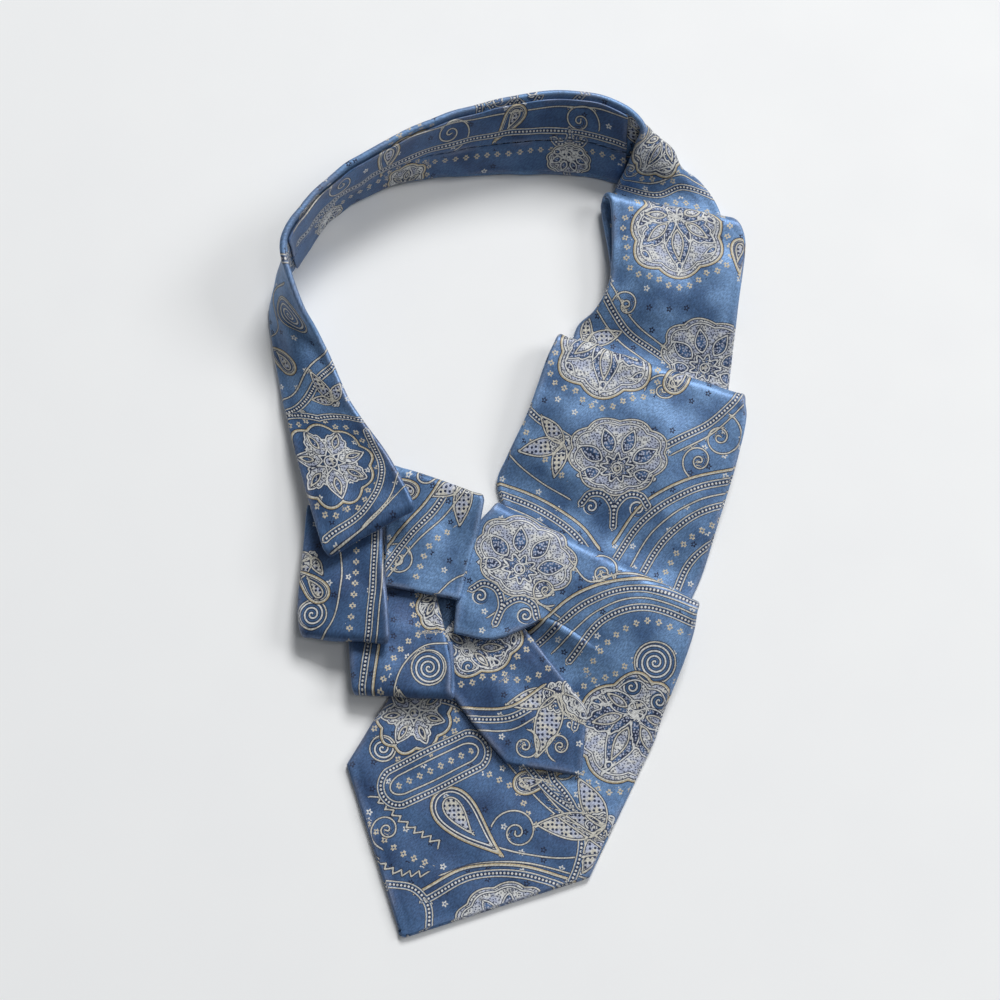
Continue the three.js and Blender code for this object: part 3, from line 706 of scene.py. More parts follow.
def woven_fields(places, strokes):
    """What the material needs at each spot: its place and filling, the nearest spiral and lines."""
    fill = np.zeros(len(places))
    spiral = np.tile([FAR, FAR, 0.0], (len(places), 1))
    for stroke in strokes:
        if stroke.kind == SWIRL:
            centre, rim = np.asarray(stroke.points)
            radius = np.linalg.norm(rim - centre)
            offset = places - centre
            away = np.linalg.norm(offset, axis=1)
            closer = away < np.linalg.norm(spiral[:, :2], axis=1)
            spiral[closer, :2] = offset[closer]
            spiral[closer, 2] = np.where(away < radius + 2 * STEP, radius, 0)[closer]
        elif stroke.fill:
            fill[inside_of(places, stroke.points)] = stroke.fill
    fields = {"cloth_mm": np.concatenate([places, fill[:, None]], 1), "spiral_mm": spiral}
    for name, kind in FIELDS.items():
        field = nearest_line(places, [stroke for stroke in strokes if stroke.kind == kind])
        if kind in (FLOWERS, BEADS):  # these run behind the filled motifs
            field[fill > DEEP_GROUND_AND_SHADE] = FAR
        fields[name + "_mm"] = field
    return fields


print("woven lines stored:", *FIELDS)

# %% [markdown]
# ## Creases
# Silk with an interlining does not crumple. It bends in long soft ridges and troughs that fade out at both
# ends. Sculpting would serve, but a table is easier to correct: each crease is listed on its stretch,
# with a middle, a direction, a length, a width and a height. A faint waviness on top keeps any stretch from
# looking pressed.

# %% Creases
Crease = namedtuple("Crease", "at turn long wide high")
CREASES = {
    "upper_pleat": [
        Crease((54, 96), -72, 36, 7, 0.9), Crease((70, 92), -80, 34, 6, -0.5),
        Crease((86, 84), -100, 40, 8, 0.9), Crease((62, 72), -20, 44, 4, 0.5),
        Crease((50, 116), -12, 20, 3, 0.4),
    ],
    "middle_pleat": [
        Crease((26, 40), -118, 34, 7, 0.8), Crease((40, 34), -104, 44, 6, -0.5),
        Crease((60, 24), -100, 50, 9, 0.9), Crease((80, 18), -84, 46, 7, -0.6),
        Crease((24, 10), -24, 36, 4, 0.5), Crease((66, -8), -28, 40, 4, 0.5),
    ],
    "wide_end": [
        Crease((30, -36), 34, 40, 5, 0.8), Crease((28, -52), -30, 34, 4, -0.7),
        Crease((2, -34), -70, 30, 7, 0.6), Crease((54, -54), -112, 40, 8, 0.7),
        Crease((44, -84), -118, 44, 7, -0.5), Crease((34, -100), -112, 50, 9, 0.7),
        Crease((-10, -108), -122, 52, 10, 0.5), Crease((-32, -112), -112, 40, 7, 0.4),
    ],
    "left_upper_pleat": [
        Crease((-62, -34), 84, 36, 6, 0.7), Crease((-50, -40), 96, 32, 5, -0.5),
    ],
    "left_lower_pleat": [
        Crease((-42, -62), 80, 30, 6, 0.6), Crease((-28, -60), 100, 26, 5, -0.4),
    ],
    "crossover": [
        Crease((-28, -10), -98, 34, 6, 0.7), Crease((-18, -18), -80, 30, 5, -0.5),
    ],
    "narrow_end": [
        Crease((4, -78), -48, 44, 6, 0.6), Crease((16, -84), -56, 30, 5, -0.4),
    ],
    "neck_run": [
        Crease((-8, 36), 80, 44, 6, 0.7), Crease((8, 52), 100, 46, 6, -0.6),
        Crease((-2, 84), 78, 50, 5, 0.8), Crease((4, 104), 112, 36, 4, -0.7),
        Crease((-4, 120), 60, 30, 3.5, 0.7), Crease((2, 146), 8, 24, 3, -0.7),
        Crease((-4, 158), -10, 22, 3.5, 0.6), Crease((3, 176), 6, 24, 4, -0.6),
        Crease((-3, 206), -8, 26, 6, 0.5), Crease((4, 244), 10, 26, 6, -0.5),
        Crease((0, 282), 14, 26, 4, 0.7), Crease((6, 296), 40, 30, 3.5, -0.8),
        Crease((-2, 308), 66, 28, 4, 0.9),
    ],
}
WAVES = [(31, 20, 0.16), (-17, 43, 0.12), (23, -14, 0.08)]  # mm, wavelength across and along, height


def creased(points, normals, flat, creases):
    """Moves a surface along its normals, out on the ridges and in on the troughs."""
    lift = np.zeros(len(flat))
    for across, along, high in WAVES if creases else ():
        lift = lift + high * np.sin(2 * math.pi * (flat[:, 0] / across + flat[:, 1] / along))
    for crease in creases:
        cosine, sine = math.cos(math.radians(crease.turn)), math.sin(math.radians(crease.turn))
        apart = flat - crease.at
        along, aside = apart @ (cosine, sine), apart @ (-sine, cosine)
        fade = np.exp(-(2 * along / crease.long) ** 2 - (aside / crease.wide) ** 2)
        lift = lift + crease.high * fade
    return points + normals * lift[:, None]


print("creases placed:", sum(map(len, CREASES.values())))

# %% [markdown]
# ## Faces, normals and sides
# Blender could find all of these on a finished mesh. They are needed before there is one, to move the points
# along the creases and to find the sides, so numpy works them out from the grid.

# %% Faces, normals and sides
def quads_of(rows, columns, first=0):
    """Faces of a grid of points, by the numbers of their corners."""
    corner = np.arange(rows * columns).reshape(rows, columns) + first
    return np.stack([corner[:-1, :-1], corner[:-1, 1:], corner[1:, 1:], corner[1:, :-1]], -1).reshape(-1, 4)


def normals_of(points, quads):
    """The way that the surface faces at each point."""
    a, b, c, d = (points[quads[:, k]] for k in range(4))
    face = np.cross(c - a, d - b)
    normals = np.zeros_like(points)
    for k in range(4):
        np.add.at(normals, quads[:, k], face)
    return unit(normals)


def open_edges(quads):
    """Edges with a face on one side only, which are the sides of the cloth."""
    pairs = np.concatenate([quads[:, [k, (k + 1) % 4]] for k in range(4)])
    _, place, count = np.unique(np.sort(pairs, 1), axis=0, return_index=True, return_counts=True)
    return pairs[place[count == 1]]


print("edges round a grid of 3 by 4 points:", len(open_edges(quads_of(3, 4))))

# %% [markdown]
# ## Rounded sides
# The middle surface becomes a closed shell: one face up, one face down, and a rounded edge between them,
# because a tie's sides are soft folds and not cuts. Solidify would leave square sides, so the edge is built
# in rings. Nothing reaches below the table.

# %% Rounded sides
EDGE_TURNS = 6  # facets round a side


def side_directions(points, normals, flat, quads, edges):
    """The way out of the cloth along its sides, in space and in the cloth's own coordinates."""
    outward, flat_out = np.zeros_like(points), np.zeros_like(flat)
    along = unit(points[edges[:, 1]] - points[edges[:, 0]])
    for k in range(2):
        np.add.at(outward, edges[:, k], np.cross(along, normals[edges[:, k]]))
    for k in range(4):
        np.add.at(flat_out, quads[:, k], flat[quads[:, k]] - flat[quads].mean(1))
    return unit(outward), unit(flat_out)


def closed_cloth(points, flat, quads, edges, thickness):
    """Vertices and faces of the two sides and the rounded edge, with the place of each in the silk."""
    normals, rim = normals_of(points, quads), np.unique(edges)
    outward, flat_out = side_directions(points, normals, flat, quads, edges)
    place_on_rim = np.zeros(len(points), int)
    place_on_rim[rim] = np.arange(len(rim))
    half, reach = thickness / 2, EDGE_REACH * thickness / CLOTH
    layers, places = [points + half * normals, points - half * normals], [flat, flat]
    rings = [np.arange(len(points))]
    for turn in range(1, EDGE_TURNS):
        angle = math.pi * turn / EDGE_TURNS
        rings.append(place_on_rim + sum(map(len, layers)))
        aside = reach * math.sin(angle) * outward[rim]
        layers.append(points[rim] + aside + half * math.cos(angle) * normals[rim])
        places.append(flat[rim] + reach * angle * flat_out[rim])
    rings.append(np.arange(len(points)) + len(points))
    faces = [quads, quads[:, ::-1] + len(points)]
    for upper, lower in zip(rings, rings[1:]):
        ring = [upper[edges[:, 1]], upper[edges[:, 0]], lower[edges[:, 0]], lower[edges[:, 1]]]
        faces.append(np.stack(ring, -1))
    vertices = np.concatenate(layers)
    vertices[:, 2] = np.maximum(vertices[:, 2], 0)
    return vertices, np.concatenate(faces), np.concatenate(places)


print("a rounded side has", EDGE_TURNS, "facets")

# %% [markdown]
# ## A piece of cloth
# One function takes a stretch from its middle surface to a finished piece. It adds the creases, the faint
# groove where the interlining stops short of the side, the wear of the sides, and the drawing.

# %% A piece of cloth
GROOVE_IN, GROOVE_WIDE, GROOVE_DEEP = 2.6, 1.2, 0.1  # mm from the side, its width and its depth
WORN_WIDE = 1.4  # mm of a side that is rubbed


def shell(name, points, quads, flat, strokes, creases=(), thickness=CLOTH):
    """A closed piece of cloth about a middle surface, with the drawing of the silk on its points."""
    used, quads = np.unique(quads, return_inverse=True)
    quads = quads.reshape(-1, 4)
    points, flat = points.reshape(-1, 3)[used], flat.reshape(-1, 2)[used]
    normals, edges = normals_of(points, quads), open_edges(quads)
    up = 1 if normals[:, 2].mean() > 0 else -1
    points = creased(points, up * normals, flat, creases)
    _, from_side = nearest(points, points[np.unique(edges)])
    groove = GROOVE_DEEP * np.exp(-((from_side - GROOVE_IN) / GROOVE_WIDE) ** 2) * thickness / CLOTH
    points = points - up * normals * groove[:, None]
    vertices, faces, places = closed_cloth(points, flat, quads, edges, thickness)
    mesh = bpy.data.meshes.new(name)
    mesh.from_pydata((vertices - LAID_CENTRE) * MM, [], faces.tolist())
    for field, values in woven_fields(places[len(flat):], strokes).items():
        values = np.concatenate([values[:len(flat)], values])  # the same silk above and below
        attribute = mesh.attributes.new(field, "FLOAT_VECTOR", "POINT")
        attribute.data.foreach_set("vector", values.astype(np.float32).ravel())
    wear = np.ones(len(vertices), np.float32)
    wear[:2 * len(points)] = np.tile(np.clip(1 - from_side / WORN_WIDE, 0, 1), 2)
    mesh.attributes.new("edge_wear", "FLOAT", "POINT").data.foreach_set("value", wear)
    mesh.shade_smooth()
    piece = bpy.data.objects.new(name, mesh)
    bpy.context.collection.objects.link(piece)
    print(name, len(mesh.polygons), "faces")
    return piece


print("groove:", GROOVE_DEEP, "mm deep,", GROOVE_IN, "mm from the side")

# %% [markdown]
# ## Making the stretches
# On the real neckpiece all of these are one length of silk, pleated by hand. Here each stretch is a shell of
# its own, laid over the ones below it, so that its folds can be set one at a time.

# %% Stretches
pieces = {}
FOLDS = {
    "neck_run": (NECK_RUN, dict(roll=NARROW_ROLL, under=12)),
    "upper_pleat": (UPPER_PLEAT, dict(roll=WIDE_ROLL, under=34, left_out=3.2, right_out=-6.5)),
    "middle_pleat": (MIDDLE_PLEAT, dict(roll=WIDE_ROLL, under=16)),
    "left_upper_pleat": (LEFT_UPPER_PLEAT, dict(roll=NARROW_ROLL, under=12)),
    "left_lower_pleat": (LEFT_LOWER_PLEAT, dict(roll=NARROW_ROLL, under=18, right_out=1.4)),
    "crossover": (CROSSOVER, dict(roll=HEM_ROLL, under=3)),
    "narrow_end": (NARROW_END, None),
}
for name, (rows, fold) in FOLDS.items():
    grid, folded = smooth_grid(rows, fold)
    flat = along_and_across(grid) if name == "neck_run" else laid_flat(grid, folded)
    quads = quads_of(*grid.shape[:2])
    pieces[name] = shell(name + "_silk", grid, quads, flat, strokes_of(name), CREASES[name])

# %% [markdown]
# ## The wide end
# The blade and the fold above it are one length of silk, but the fold is only closed on the right. Left of
# the crease it is free, and the narrow end slips in there. So two surfaces are joined along half a row: they
# share the points from the crease to the right side.

# %% Wide end
upper, folded = smooth_grid(WIDE_UPPER, dict(roll=WIDE_ROLL, under=14), WIDE_BLADE)
lower, _ = smooth_grid(WIDE_LOWER, None, WIDE_BLADE)
columns = upper.shape[1]
crease = (columns - 1) // (len(COLUMNS) - 1) * COLUMNS.index("crease")
first = upper.shape[0] * columns
lower_quads = quads_of(*lower.shape[:2], first)
shared = first + np.arange(crease, columns)
lower_quads = np.where(np.isin(lower_quads, shared), lower_quads - columns, lower_quads)
points = np.concatenate([upper.reshape(-1, 3), lower.reshape(-1, 3)])
flat = np.concatenate([laid_flat(upper, folded).reshape(-1, 2), lower.reshape(-1, 3)[:, :2]])
wide_quads = np.concatenate([quads_of(*upper.shape[:2]), lower_quads])
pieces["wide_end"] = shell("wide_end_silk", points, wide_quads, flat, strokes_of("wide_end"),
                           CREASES["wide_end"])

# %% [markdown]
# ## The flaps inside the band
# A tie is folded from both sides, and its two edges meet on the back. The band shows its back on the inside
# of the loop. Each flap is made from the band's own points, moved in by its thickness, so it follows every
# bend and crease of the band.

# %% Flaps
BAND_FROM, BAND_TO = "left upright", "right turn"
BAND_WIDE = 36  # mm across the band
FLAP = 0.9  # mm, one layer of silk with its turning
FLAP_CLEAR = 0.375  # mm between the band and a flap
FLAP_OFF = CLOTH / 2 + FLAP_CLEAR + FLAP / 2  # mm from the middle of the band to the middle of a flap
FLAP_SPANS = {  # from where to where, as shares of the band's width
    "neckband_lower_flap": (0.056, 0.4325),
    "neckband_upper_flap": (0.4675, 0.944),
}


def row_at(grid, rows, at):
    """The row of a grid that lies nearest to a named section."""
    left = np.array(next(row["left"] for row in rows if row["at"] == at))
    return np.linalg.norm(grid[:, 0] - left, axis=-1).argmin()


neck, _ = smooth_grid(*FOLDS["neck_run"])
neck_flat = along_and_across(neck)
neck_points, neck_quads = neck.reshape(-1, 3), quads_of(*neck.shape[:2])
neck_normals = normals_of(neck_points, neck_quads)
neck_points = creased(neck_points, neck_normals, neck_flat.reshape(-1, 2), CREASES["neck_run"])
neck_normals = normals_of(neck_points, neck_quads).reshape(neck.shape)
neck = neck_points.reshape(neck.shape)
band_first, band_last = row_at(neck, NECK_RUN, BAND_FROM), row_at(neck, NECK_RUN, BAND_TO)
inner_face = (neck - FLAP_OFF * neck_normals)[band_first:band_last + 1]
inner_flat = neck_flat[band_first:band_last + 1]
for name, (start, stop) in FLAP_SPANS.items():
    share = np.linspace(start, stop, round((stop - start) * BAND_WIDE / STEP)) * (neck.shape[1] - 1)
    low = np.minimum(share.astype(int), neck.shape[1] - 2)
    mix = (share - low)[:, None]
    flap_grid = inner_face[:, low] * (1 - mix) + inner_face[:, low + 1] * mix
    flap_flat = inner_flat[:, low] * (1 - mix) + inner_flat[:, low + 1] * mix
    quads = quads_of(*flap_grid.shape[:2])[:, ::-1]
    pieces[name] = shell(name + "_silk", flap_grid, quads, flap_flat, strokes_of("flaps"), thickness=FLAP)

# %% [markdown]
# ## Node helper and yarn colours
# Five yarns are enough for this silk: a mid-blue satin ground, a navy, an ivory, a cream and a dull gold.
# Where ivory and blue cross in the lace the eye sees a pale mist-blue, and where blue and navy cross a deeper
# blue, which the shade cells also use as painted shade. One helper adds any node and links its inputs.

# %% Node helper and colours
def linear(hexcode):
    """An sRGB hex value as linear red, green and blue with full cover."""
    channels = [int(hexcode[k:k + 2], 16) / 255 for k in (1, 3, 5)]
    return [c / 12.92 if c <= 0.04045 else ((c + 0.055) / 1.055) ** 2.4 for c in channels] + [1.0]


def add(tree, kind, *inputs, out=0, **settings):
    """Adds a node with its settings. Each input is a value or another node's output."""
    node = tree.nodes.new(kind if "Node" in kind else "ShaderNode" + kind)
    for name, value in settings.items():
        setattr(node, name, value)
    for socket, value in zip(node.inputs, inputs):
        if isinstance(value, bpy.types.NodeSocket):
            tree.links.new(value, socket)
        elif value is not None:
            socket.default_value = value
    return node.outputs[out]


GROUND = linear("#688bb5")
SHADE = linear("#45658f")
# the deeper blue of the deep ground, also the painted shade of the shade cells
DEEP_BLUE_AND_SHADE = linear("#324c74")
NAVY = linear("#1c2a49")
IVORY = linear("#c9cac8")
CREAM = linear("#bebbb0")
MIST = linear("#a4abbf")
GOLD = linear("#b0a07c")

# Silk satin from a jacquard loom: the long floats of the ground gleam softly, the figures stay matt.
silk = bpy.data.materials.new("figured_satin_silk")
silk.use_nodes = True
tree = silk.node_tree
satin = tree.nodes["Principled BSDF"]
print("yarn colours: 5, blends: 3")

# %% [markdown]
# ## Reading the drawing
# The attributes come back as numbers in millimetres. For each way of weaving a line there is its distance,
# its signed distance and the run along it, so every width below is a real width on the cloth.

# %% Drawing in the material
BLUNT = 0.5  # mm, more than the plain distance can be off on top of a line

cloth = add(tree, "Attribute", out=1, attribute_name="cloth_mm")
spot = add(tree, "VectorMath", cloth, (1, 1, 0), operation="MULTIPLY")
fill = add(tree, "SeparateXYZ", cloth, out=2)
away, side, run = {}, {}, {}
for name in FIELDS:
    stored = add(tree, "Attribute", out=1, attribute_name=name + "_mm")
    field = add(tree, "SeparateXYZ", stored).node.outputs
    plain = add(tree, "Math", field[2], BLUNT, operation="SUBTRACT")
    signed = add(tree, "Math", field[0], operation="ABSOLUTE")
    away[name] = add(tree, "Math", signed, plain, operation="MAXIMUM")
    side[name], run[name] = field[0], field[1]
print("woven lines read:", *away)

# %% [markdown]
# ## Ground
# The satin ground shades softly from mid-blue to a deeper blue. Where a motif or a shade cell has deep
# ground,
# it turns deeper still: in the motifs that is the design, in the shade cells it is painted shade. Small
# five-petalled flowers are scattered over it, some ivory and some navy, and stand in rows along the
# medallions. A Voronoi texture gives each scattered flower a cell of its own, and the run along a line gives
# the rows their even pitch, so both share one drawing of a flower.

# %% Ground
FLOWER_WIDE, PETAL_DEPTH, FLOWER_EYE = 0.95, 0.3, 0.36  # mm, a flower's radius, its petals and its middle
FLOWER_SOFT = 0.08  # mm on each side of a flower's outline
PETALS = 5
FLOWER_CELL, FLOWER_STRAY = 7.0, 0.8  # mm, room for a scattered flower, and how far it strays in that
ROW_STEP, ROW_REACH = 2.1, 1.6  # mm, half the pitch of a row of flowers, and half its width
IVORY_SHARE, FLOWER_SHARE = 0.25, 0.55  # of the cells: those with an ivory flower, and with any flower
ROW_GOLD = 0.6  # share of gold in the flowers of a row
CLOUD = 14.0  # mm, size of the satin's lighter and deeper clouds
CLOUD_FROM, CLOUD_TO = 0.4, 0.65  # where the noise turns from light to deep
HALF_LEVEL = 0.5  # fillings are whole numbers, so a limit half-way between two is safe

scatter = add(tree, "TexVoronoi", spot, None, 1 / FLOWER_CELL, voronoi_dimensions="2D").node
scatter.inputs["Randomness"].default_value = FLOWER_STRAY
scattered = add(tree, "VectorMath", spot, scatter.outputs["Position"], operation="SUBTRACT")
in_row = add(tree, "Math", away["flowers"], ROW_REACH, operation="LESS_THAN")
along_row = add(tree, "Math", run["flowers"], ROW_STEP, operation="PINGPONG")
bloom = add(tree, "MixRGB", in_row, scattered, add(tree, "CombineXYZ", along_row, side["flowers"]))
bloom_xyz = add(tree, "SeparateXYZ", bloom).node.outputs
bloom_away = add(tree, "VectorMath", bloom, operation="LENGTH", out=1)
petals = add(tree, "Math", bloom_xyz[1], bloom_xyz[0], operation="ARCTAN2")
petals = add(tree, "Math", petals, PETALS, operation="MULTIPLY")
petals = add(tree, "Math", petals, operation="COSINE")
petals = add(tree, "Math", petals, PETAL_DEPTH, FLOWER_WIDE, operation="MULTIPLY_ADD")
petals = add(tree, "Math", petals, bloom_away, operation="SUBTRACT")
flower = add(tree, "MapRange", petals, -FLOWER_SOFT, FLOWER_SOFT)
eye = add(tree, "MapRange", bloom_away, FLOWER_EYE - FLOWER_SOFT, FLOWER_EYE + FLOWER_SOFT)
flower = add(tree, "Math", flower, eye, operation="MULTIPLY")
chance = add(tree, "SeparateColor", scatter.outputs["Color"])
bare = add(tree, "Math", chance, FLOWER_SHARE, operation="GREATER_THAN")
bare = add(tree, "Math", bare, in_row, operation="SUBTRACT", use_clamp=True)
flower = add(tree, "Math", flower, bare, operation="SUBTRACT", use_clamp=True)
is_navy = add(tree, "Math", chance, IVORY_SHARE, operation="GREATER_THAN")
is_navy = add(tree, "Math", is_navy, in_row, operation="SUBTRACT", use_clamp=True)
shade = add(tree, "TexNoise", spot, None, 1 / CLOUD)
cloud = add(tree, "MapRange", shade, CLOUD_FROM, CLOUD_TO)
# painted shade: the deep ground of the motifs, and of the shade cells that darken stretches lying in shadow
deep_ground_and_shade_mask = add(tree, "Math", fill, DEEP_GROUND_AND_SHADE - HALF_LEVEL, operation="GREATER_THAN")
ground = add(tree, "MixRGB", cloud, GROUND, SHADE)
ground = add(tree, "MixRGB", deep_ground_and_shade_mask, ground, add(tree, "MixRGB", cloud, SHADE, DEEP_BLUE_AND_SHADE))
row_yarn = add(tree, "MixRGB", add(tree, "Math", in_row, ROW_GOLD, operation="MULTIPLY"), IVORY, GOLD)
colour = add(tree, "MixRGB", flower, ground, add(tree, "MixRGB", is_navy, row_yarn, NAVY))
print("nodes with the ground:", len(tree.nodes))

# %% [markdown]
# ## Fillings
# Lace, leaves and petals are fine dots on a plain weave. Real dots are half a millimetre apart. Here they
# are drawn twice as coarse, so that they still show at arm's length. One table serves all three.

# %% Fillings
Filling = namedtuple("Filling", "level dots edge strength yarn patched dot")
DOT_STEP, DOT_STRAY = 1.0, 0.85  # mm between the dots of lace and petals, and how far they stray in that
LEAF_STEP, LEAF_STRAY = 1.7, 0.25  # the same for the rows of dots in a leaf
PATCH = 4.0  # mm, size of the patches where another yarn comes up
PATCH_FROM, PATCH_TO = 0.42, 0.58  # where the noise turns from one yarn to the other

lace_dots = add(tree, "TexVoronoi", spot, None, 1 / DOT_STEP, voronoi_dimensions="2D")
lace_dots.node.inputs["Randomness"].default_value = DOT_STRAY
leaf_dots = add(tree, "TexVoronoi", spot, None, 1 / LEAF_STEP, voronoi_dimensions="2D")
leaf_dots.node.inputs["Randomness"].default_value = LEAF_STRAY
patch = add(tree, "MapRange", add(tree, "TexNoise", spot, None, 1 / PATCH), PATCH_FROM, PATCH_TO)
for filling in (  # the edge of a dot is a share of the step, from outside to inside
        Filling(LACE, lace_dots, (0.36, 0.22), 0.8, IVORY, MIST, NAVY),
        Filling(LEAF, leaf_dots, (0.34, 0.24), 1.0, CREAM, MIST, NAVY),
        Filling(PETAL, lace_dots, (0.4, 0.26), 1.0, SHADE, NAVY, MIST)):
    dot = add(tree, "MapRange", filling.dots, *filling.edge)
    dot = add(tree, "Math", dot, filling.strength, operation="MULTIPLY")
    woven = add(tree, "MixRGB", patch, filling.yarn, filling.patched)
    woven = add(tree, "MixRGB", dot, woven, filling.dot)
    inside = add(tree, "Math", fill, filling.level - HALF_LEVEL, operation="GREATER_THAN")
    colour = add(tree, "MixRGB", inside, colour, woven)
print("nodes with the fillings:", len(tree.nodes))

# %% [markdown]
# ## Spirals
# A spiral is the angle round its middle added to the distance from it, so a coil is one stripe. Every coil
# is an ivory line with a navy edge on the blue ground.

# %% Spirals
COIL = 1.9  # mm between the coils
HALF_COIL = 0.5  # from the middle of a line to half-way to the next
COIL_IVORY, COIL_NAVY = (0.13, 0.19), (0.3, 0.36)  # coils, from the middle of the line to where a yarn ends

spiral = add(tree, "Attribute", out=1, attribute_name="spiral_mm")
spiral_xyz = add(tree, "SeparateXYZ", spiral).node.outputs
from_middle = add(tree, "VectorMath", spiral, (1, 1, 0), operation="MULTIPLY")
reach = add(tree, "VectorMath", from_middle, operation="LENGTH", out=1)
angle = add(tree, "Math", spiral_xyz[1], spiral_xyz[0], operation="ARCTAN2")
angle = add(tree, "Math", angle, 2 * math.pi, operation="DIVIDE")
coil = add(tree, "Math", add(tree, "Math", reach, COIL, operation="DIVIDE"), angle, operation="SUBTRACT")
coil = add(tree, "Math", coil, HALF_COIL, operation="PINGPONG")
curl = add(tree, "MixRGB", add(tree, "MapRange", coil, *COIL_NAVY), NAVY, SHADE)
curl = add(tree, "MixRGB", add(tree, "MapRange", coil, *COIL_IVORY), IVORY, curl)
in_spiral = add(tree, "Math", reach, spiral_xyz[2], operation="LESS_THAN")
colour = add(tree, "MixRGB", in_spiral, colour, curl)
print("nodes with the spirals:", len(tree.nodes))

# %% [markdown]
# ## Lines, cords and beaded bands
# Every woven line is a pale thread with a navy edge that sets it off from the ground. The table gives half
# widths from the thin veins up to the cords, each painted over the last. A beaded band is two cords with a
# row of ivory beads between.

# %% Lines and bands
Stripe = namedtuple("Stripe", "line half yarn")  # half the width in mm
SOFT = 0.07  # mm over which one yarn gives way to the next
RIM_FROM, RIM_TO = -0.1, 0.2  # mm across a cord, where its cream inside turns to gold outside
BEAD_STEP = 0.7  # mm, half the pitch of the beads
BEAD_OUT, BEAD_IN = 0.5, 0.36  # mm from the middle of a bead, where it ends and where it is full

rim_yarn = add(tree, "MixRGB", add(tree, "MapRange", side["cord"], RIM_FROM, RIM_TO), CREAM, GOLD)
for stripe in (
        Stripe("vein", 0.52, NAVY), Stripe("vein", 0.24, IVORY),
        Stripe("line", 0.54, NAVY), Stripe("line", 0.25, CREAM),
        Stripe("cord", 0.8, NAVY), Stripe("cord", 0.45, rim_yarn),
        Stripe("beads", 1.62, NAVY), Stripe("beads", 1.36, CREAM),
        Stripe("beads", 0.96, SHADE), Stripe("beads", 0.62, NAVY)):
    covered = add(tree, "MapRange", away[stripe.line], stripe.half + SOFT, stripe.half - SOFT)
    colour = add(tree, "MixRGB", covered, colour, stripe.yarn)
bead = add(tree, "Math", run["beads"], BEAD_STEP, operation="PINGPONG")
bead = add(tree, "VectorMath", add(tree, "CombineXYZ", bead, away["beads"]), operation="LENGTH", out=1)
colour = add(tree, "MixRGB", add(tree, "MapRange", bead, BEAD_OUT, BEAD_IN), colour, IVORY)
print("nodes with the lines:", len(tree.nodes))

# %% [markdown]
# ## Satin finish
# Satin shows its warp as fine slanting floats, because a neckpiece is cut on the bias. They are drawn about
# twice as coarse as life. The floats break up the light, the figures stand a little proud of the ground, and
# the folded sides are rubbed paler with wear. The long floats of the ground send light back in the yarn's own
# colour. A share of metallic gives that gleam, and the matt figures have next to none.

# %% Silk finish
Finish = namedtuple("Finish", "socket dark pale ground figure")  # from a dark yarn to a pale one
FLOAT_ACROSS, FLOAT_ALONG = 0.5, 1.3  # mm, one float of the warp
FLOAT_TURN = math.radians(45)
FLOAT_DARK, FLOAT_LIGHT = 0.78, 1.2  # how far the floats darken and lighten the yarn
NOISE_LOW, NOISE_HIGH = 0.3, 0.7  # nearly all of a noise lies between
WORN_FROM, WORN_TO, WORN_MOST = 0.4, 0.7, 0.35  # noise of the wear, and its share of paler yarn
RELIEF, RELIEF_STRENGTH = 0.3, 0.4  # mm that figures and floats stand proud, and how much of it shows
FLOAT_SHARE = 0.5  # of the relief that the floats make
SILK_IOR = 1.55

bias = add(tree, "VectorRotate", spot, None, None, FLOAT_TURN, rotation_type="Z_AXIS")
floats = add(tree, "VectorMath", bias, (1 / FLOAT_ACROSS, 1 / FLOAT_ALONG, 0), operation="MULTIPLY")
floats = add(tree, "TexNoise", floats, None, 1.0, 1.0, noise_dimensions="2D")
worn = add(tree, "Attribute", out=2, attribute_name="edge_wear")
rubbed = add(tree, "MapRange", shade, WORN_FROM, WORN_TO, 0.0, WORN_MOST)
worn = add(tree, "Math", worn, rubbed, operation="MULTIPLY")
colour = add(tree, "MixRGB", worn, colour, MIST)
gleam = add(tree, "MapRange", floats, NOISE_LOW, NOISE_HIGH, FLOAT_DARK, FLOAT_LIGHT)
colour = add(tree, "MixRGB", 1.0, colour, gleam, blend_type="MULTIPLY")
tree.links.new(colour, satin.inputs["Base Color"])
raised = add(tree, "RGBToBW", colour)
for finish in (Finish("Roughness", 0.2, 0.5, 0.48, 0.62), Finish("Metallic", 0.25, 0.5, 0.42, 0.05)):
    level = add(tree, "MapRange", raised, finish.dark, finish.pale, finish.ground, finish.figure)
    tree.links.new(level, satin.inputs[finish.socket])
relief = add(tree, "Bump", RELIEF_STRENGTH, RELIEF * MM).node
height = add(tree, "Math", floats, FLOAT_SHARE, raised, operation="MULTIPLY_ADD")
tree.links.new(height, relief.inputs["Height"])
tree.links.new(relief.outputs[0], satin.inputs["Normal"])
satin.inputs["IOR"].default_value = SILK_IOR
satin.inputs["Specular IOR Level"].default_value = 0.6
satin.inputs["Sheen Weight"].default_value = 0.25
satin.inputs["Sheen Roughness"].default_value = 0.35
satin.inputs["Sheen Tint"].default_value = linear("#b9cbe6")
for piece in pieces.values():
    piece.data.materials.append(silk)
print("silk nodes:", len(tree.nodes))

# %% [markdown]
# ## Sewing thread
# The thread is twisted from plies of silk, in a blue between the ground and the navy. At this size the twist
# is only a change of tone and a faint bump along the stitch, so noise on Object coordinates is enough.

# %% Sewing thread
PLY = 0.6  # mm, one turn of the plies
PLY_RELIEF, PLY_STRENGTH = 0.1, 0.3  # mm that a ply stands proud, and how much of it shows
PLY_ROUGH = 0.38, 0.52  # on top of a ply and between two

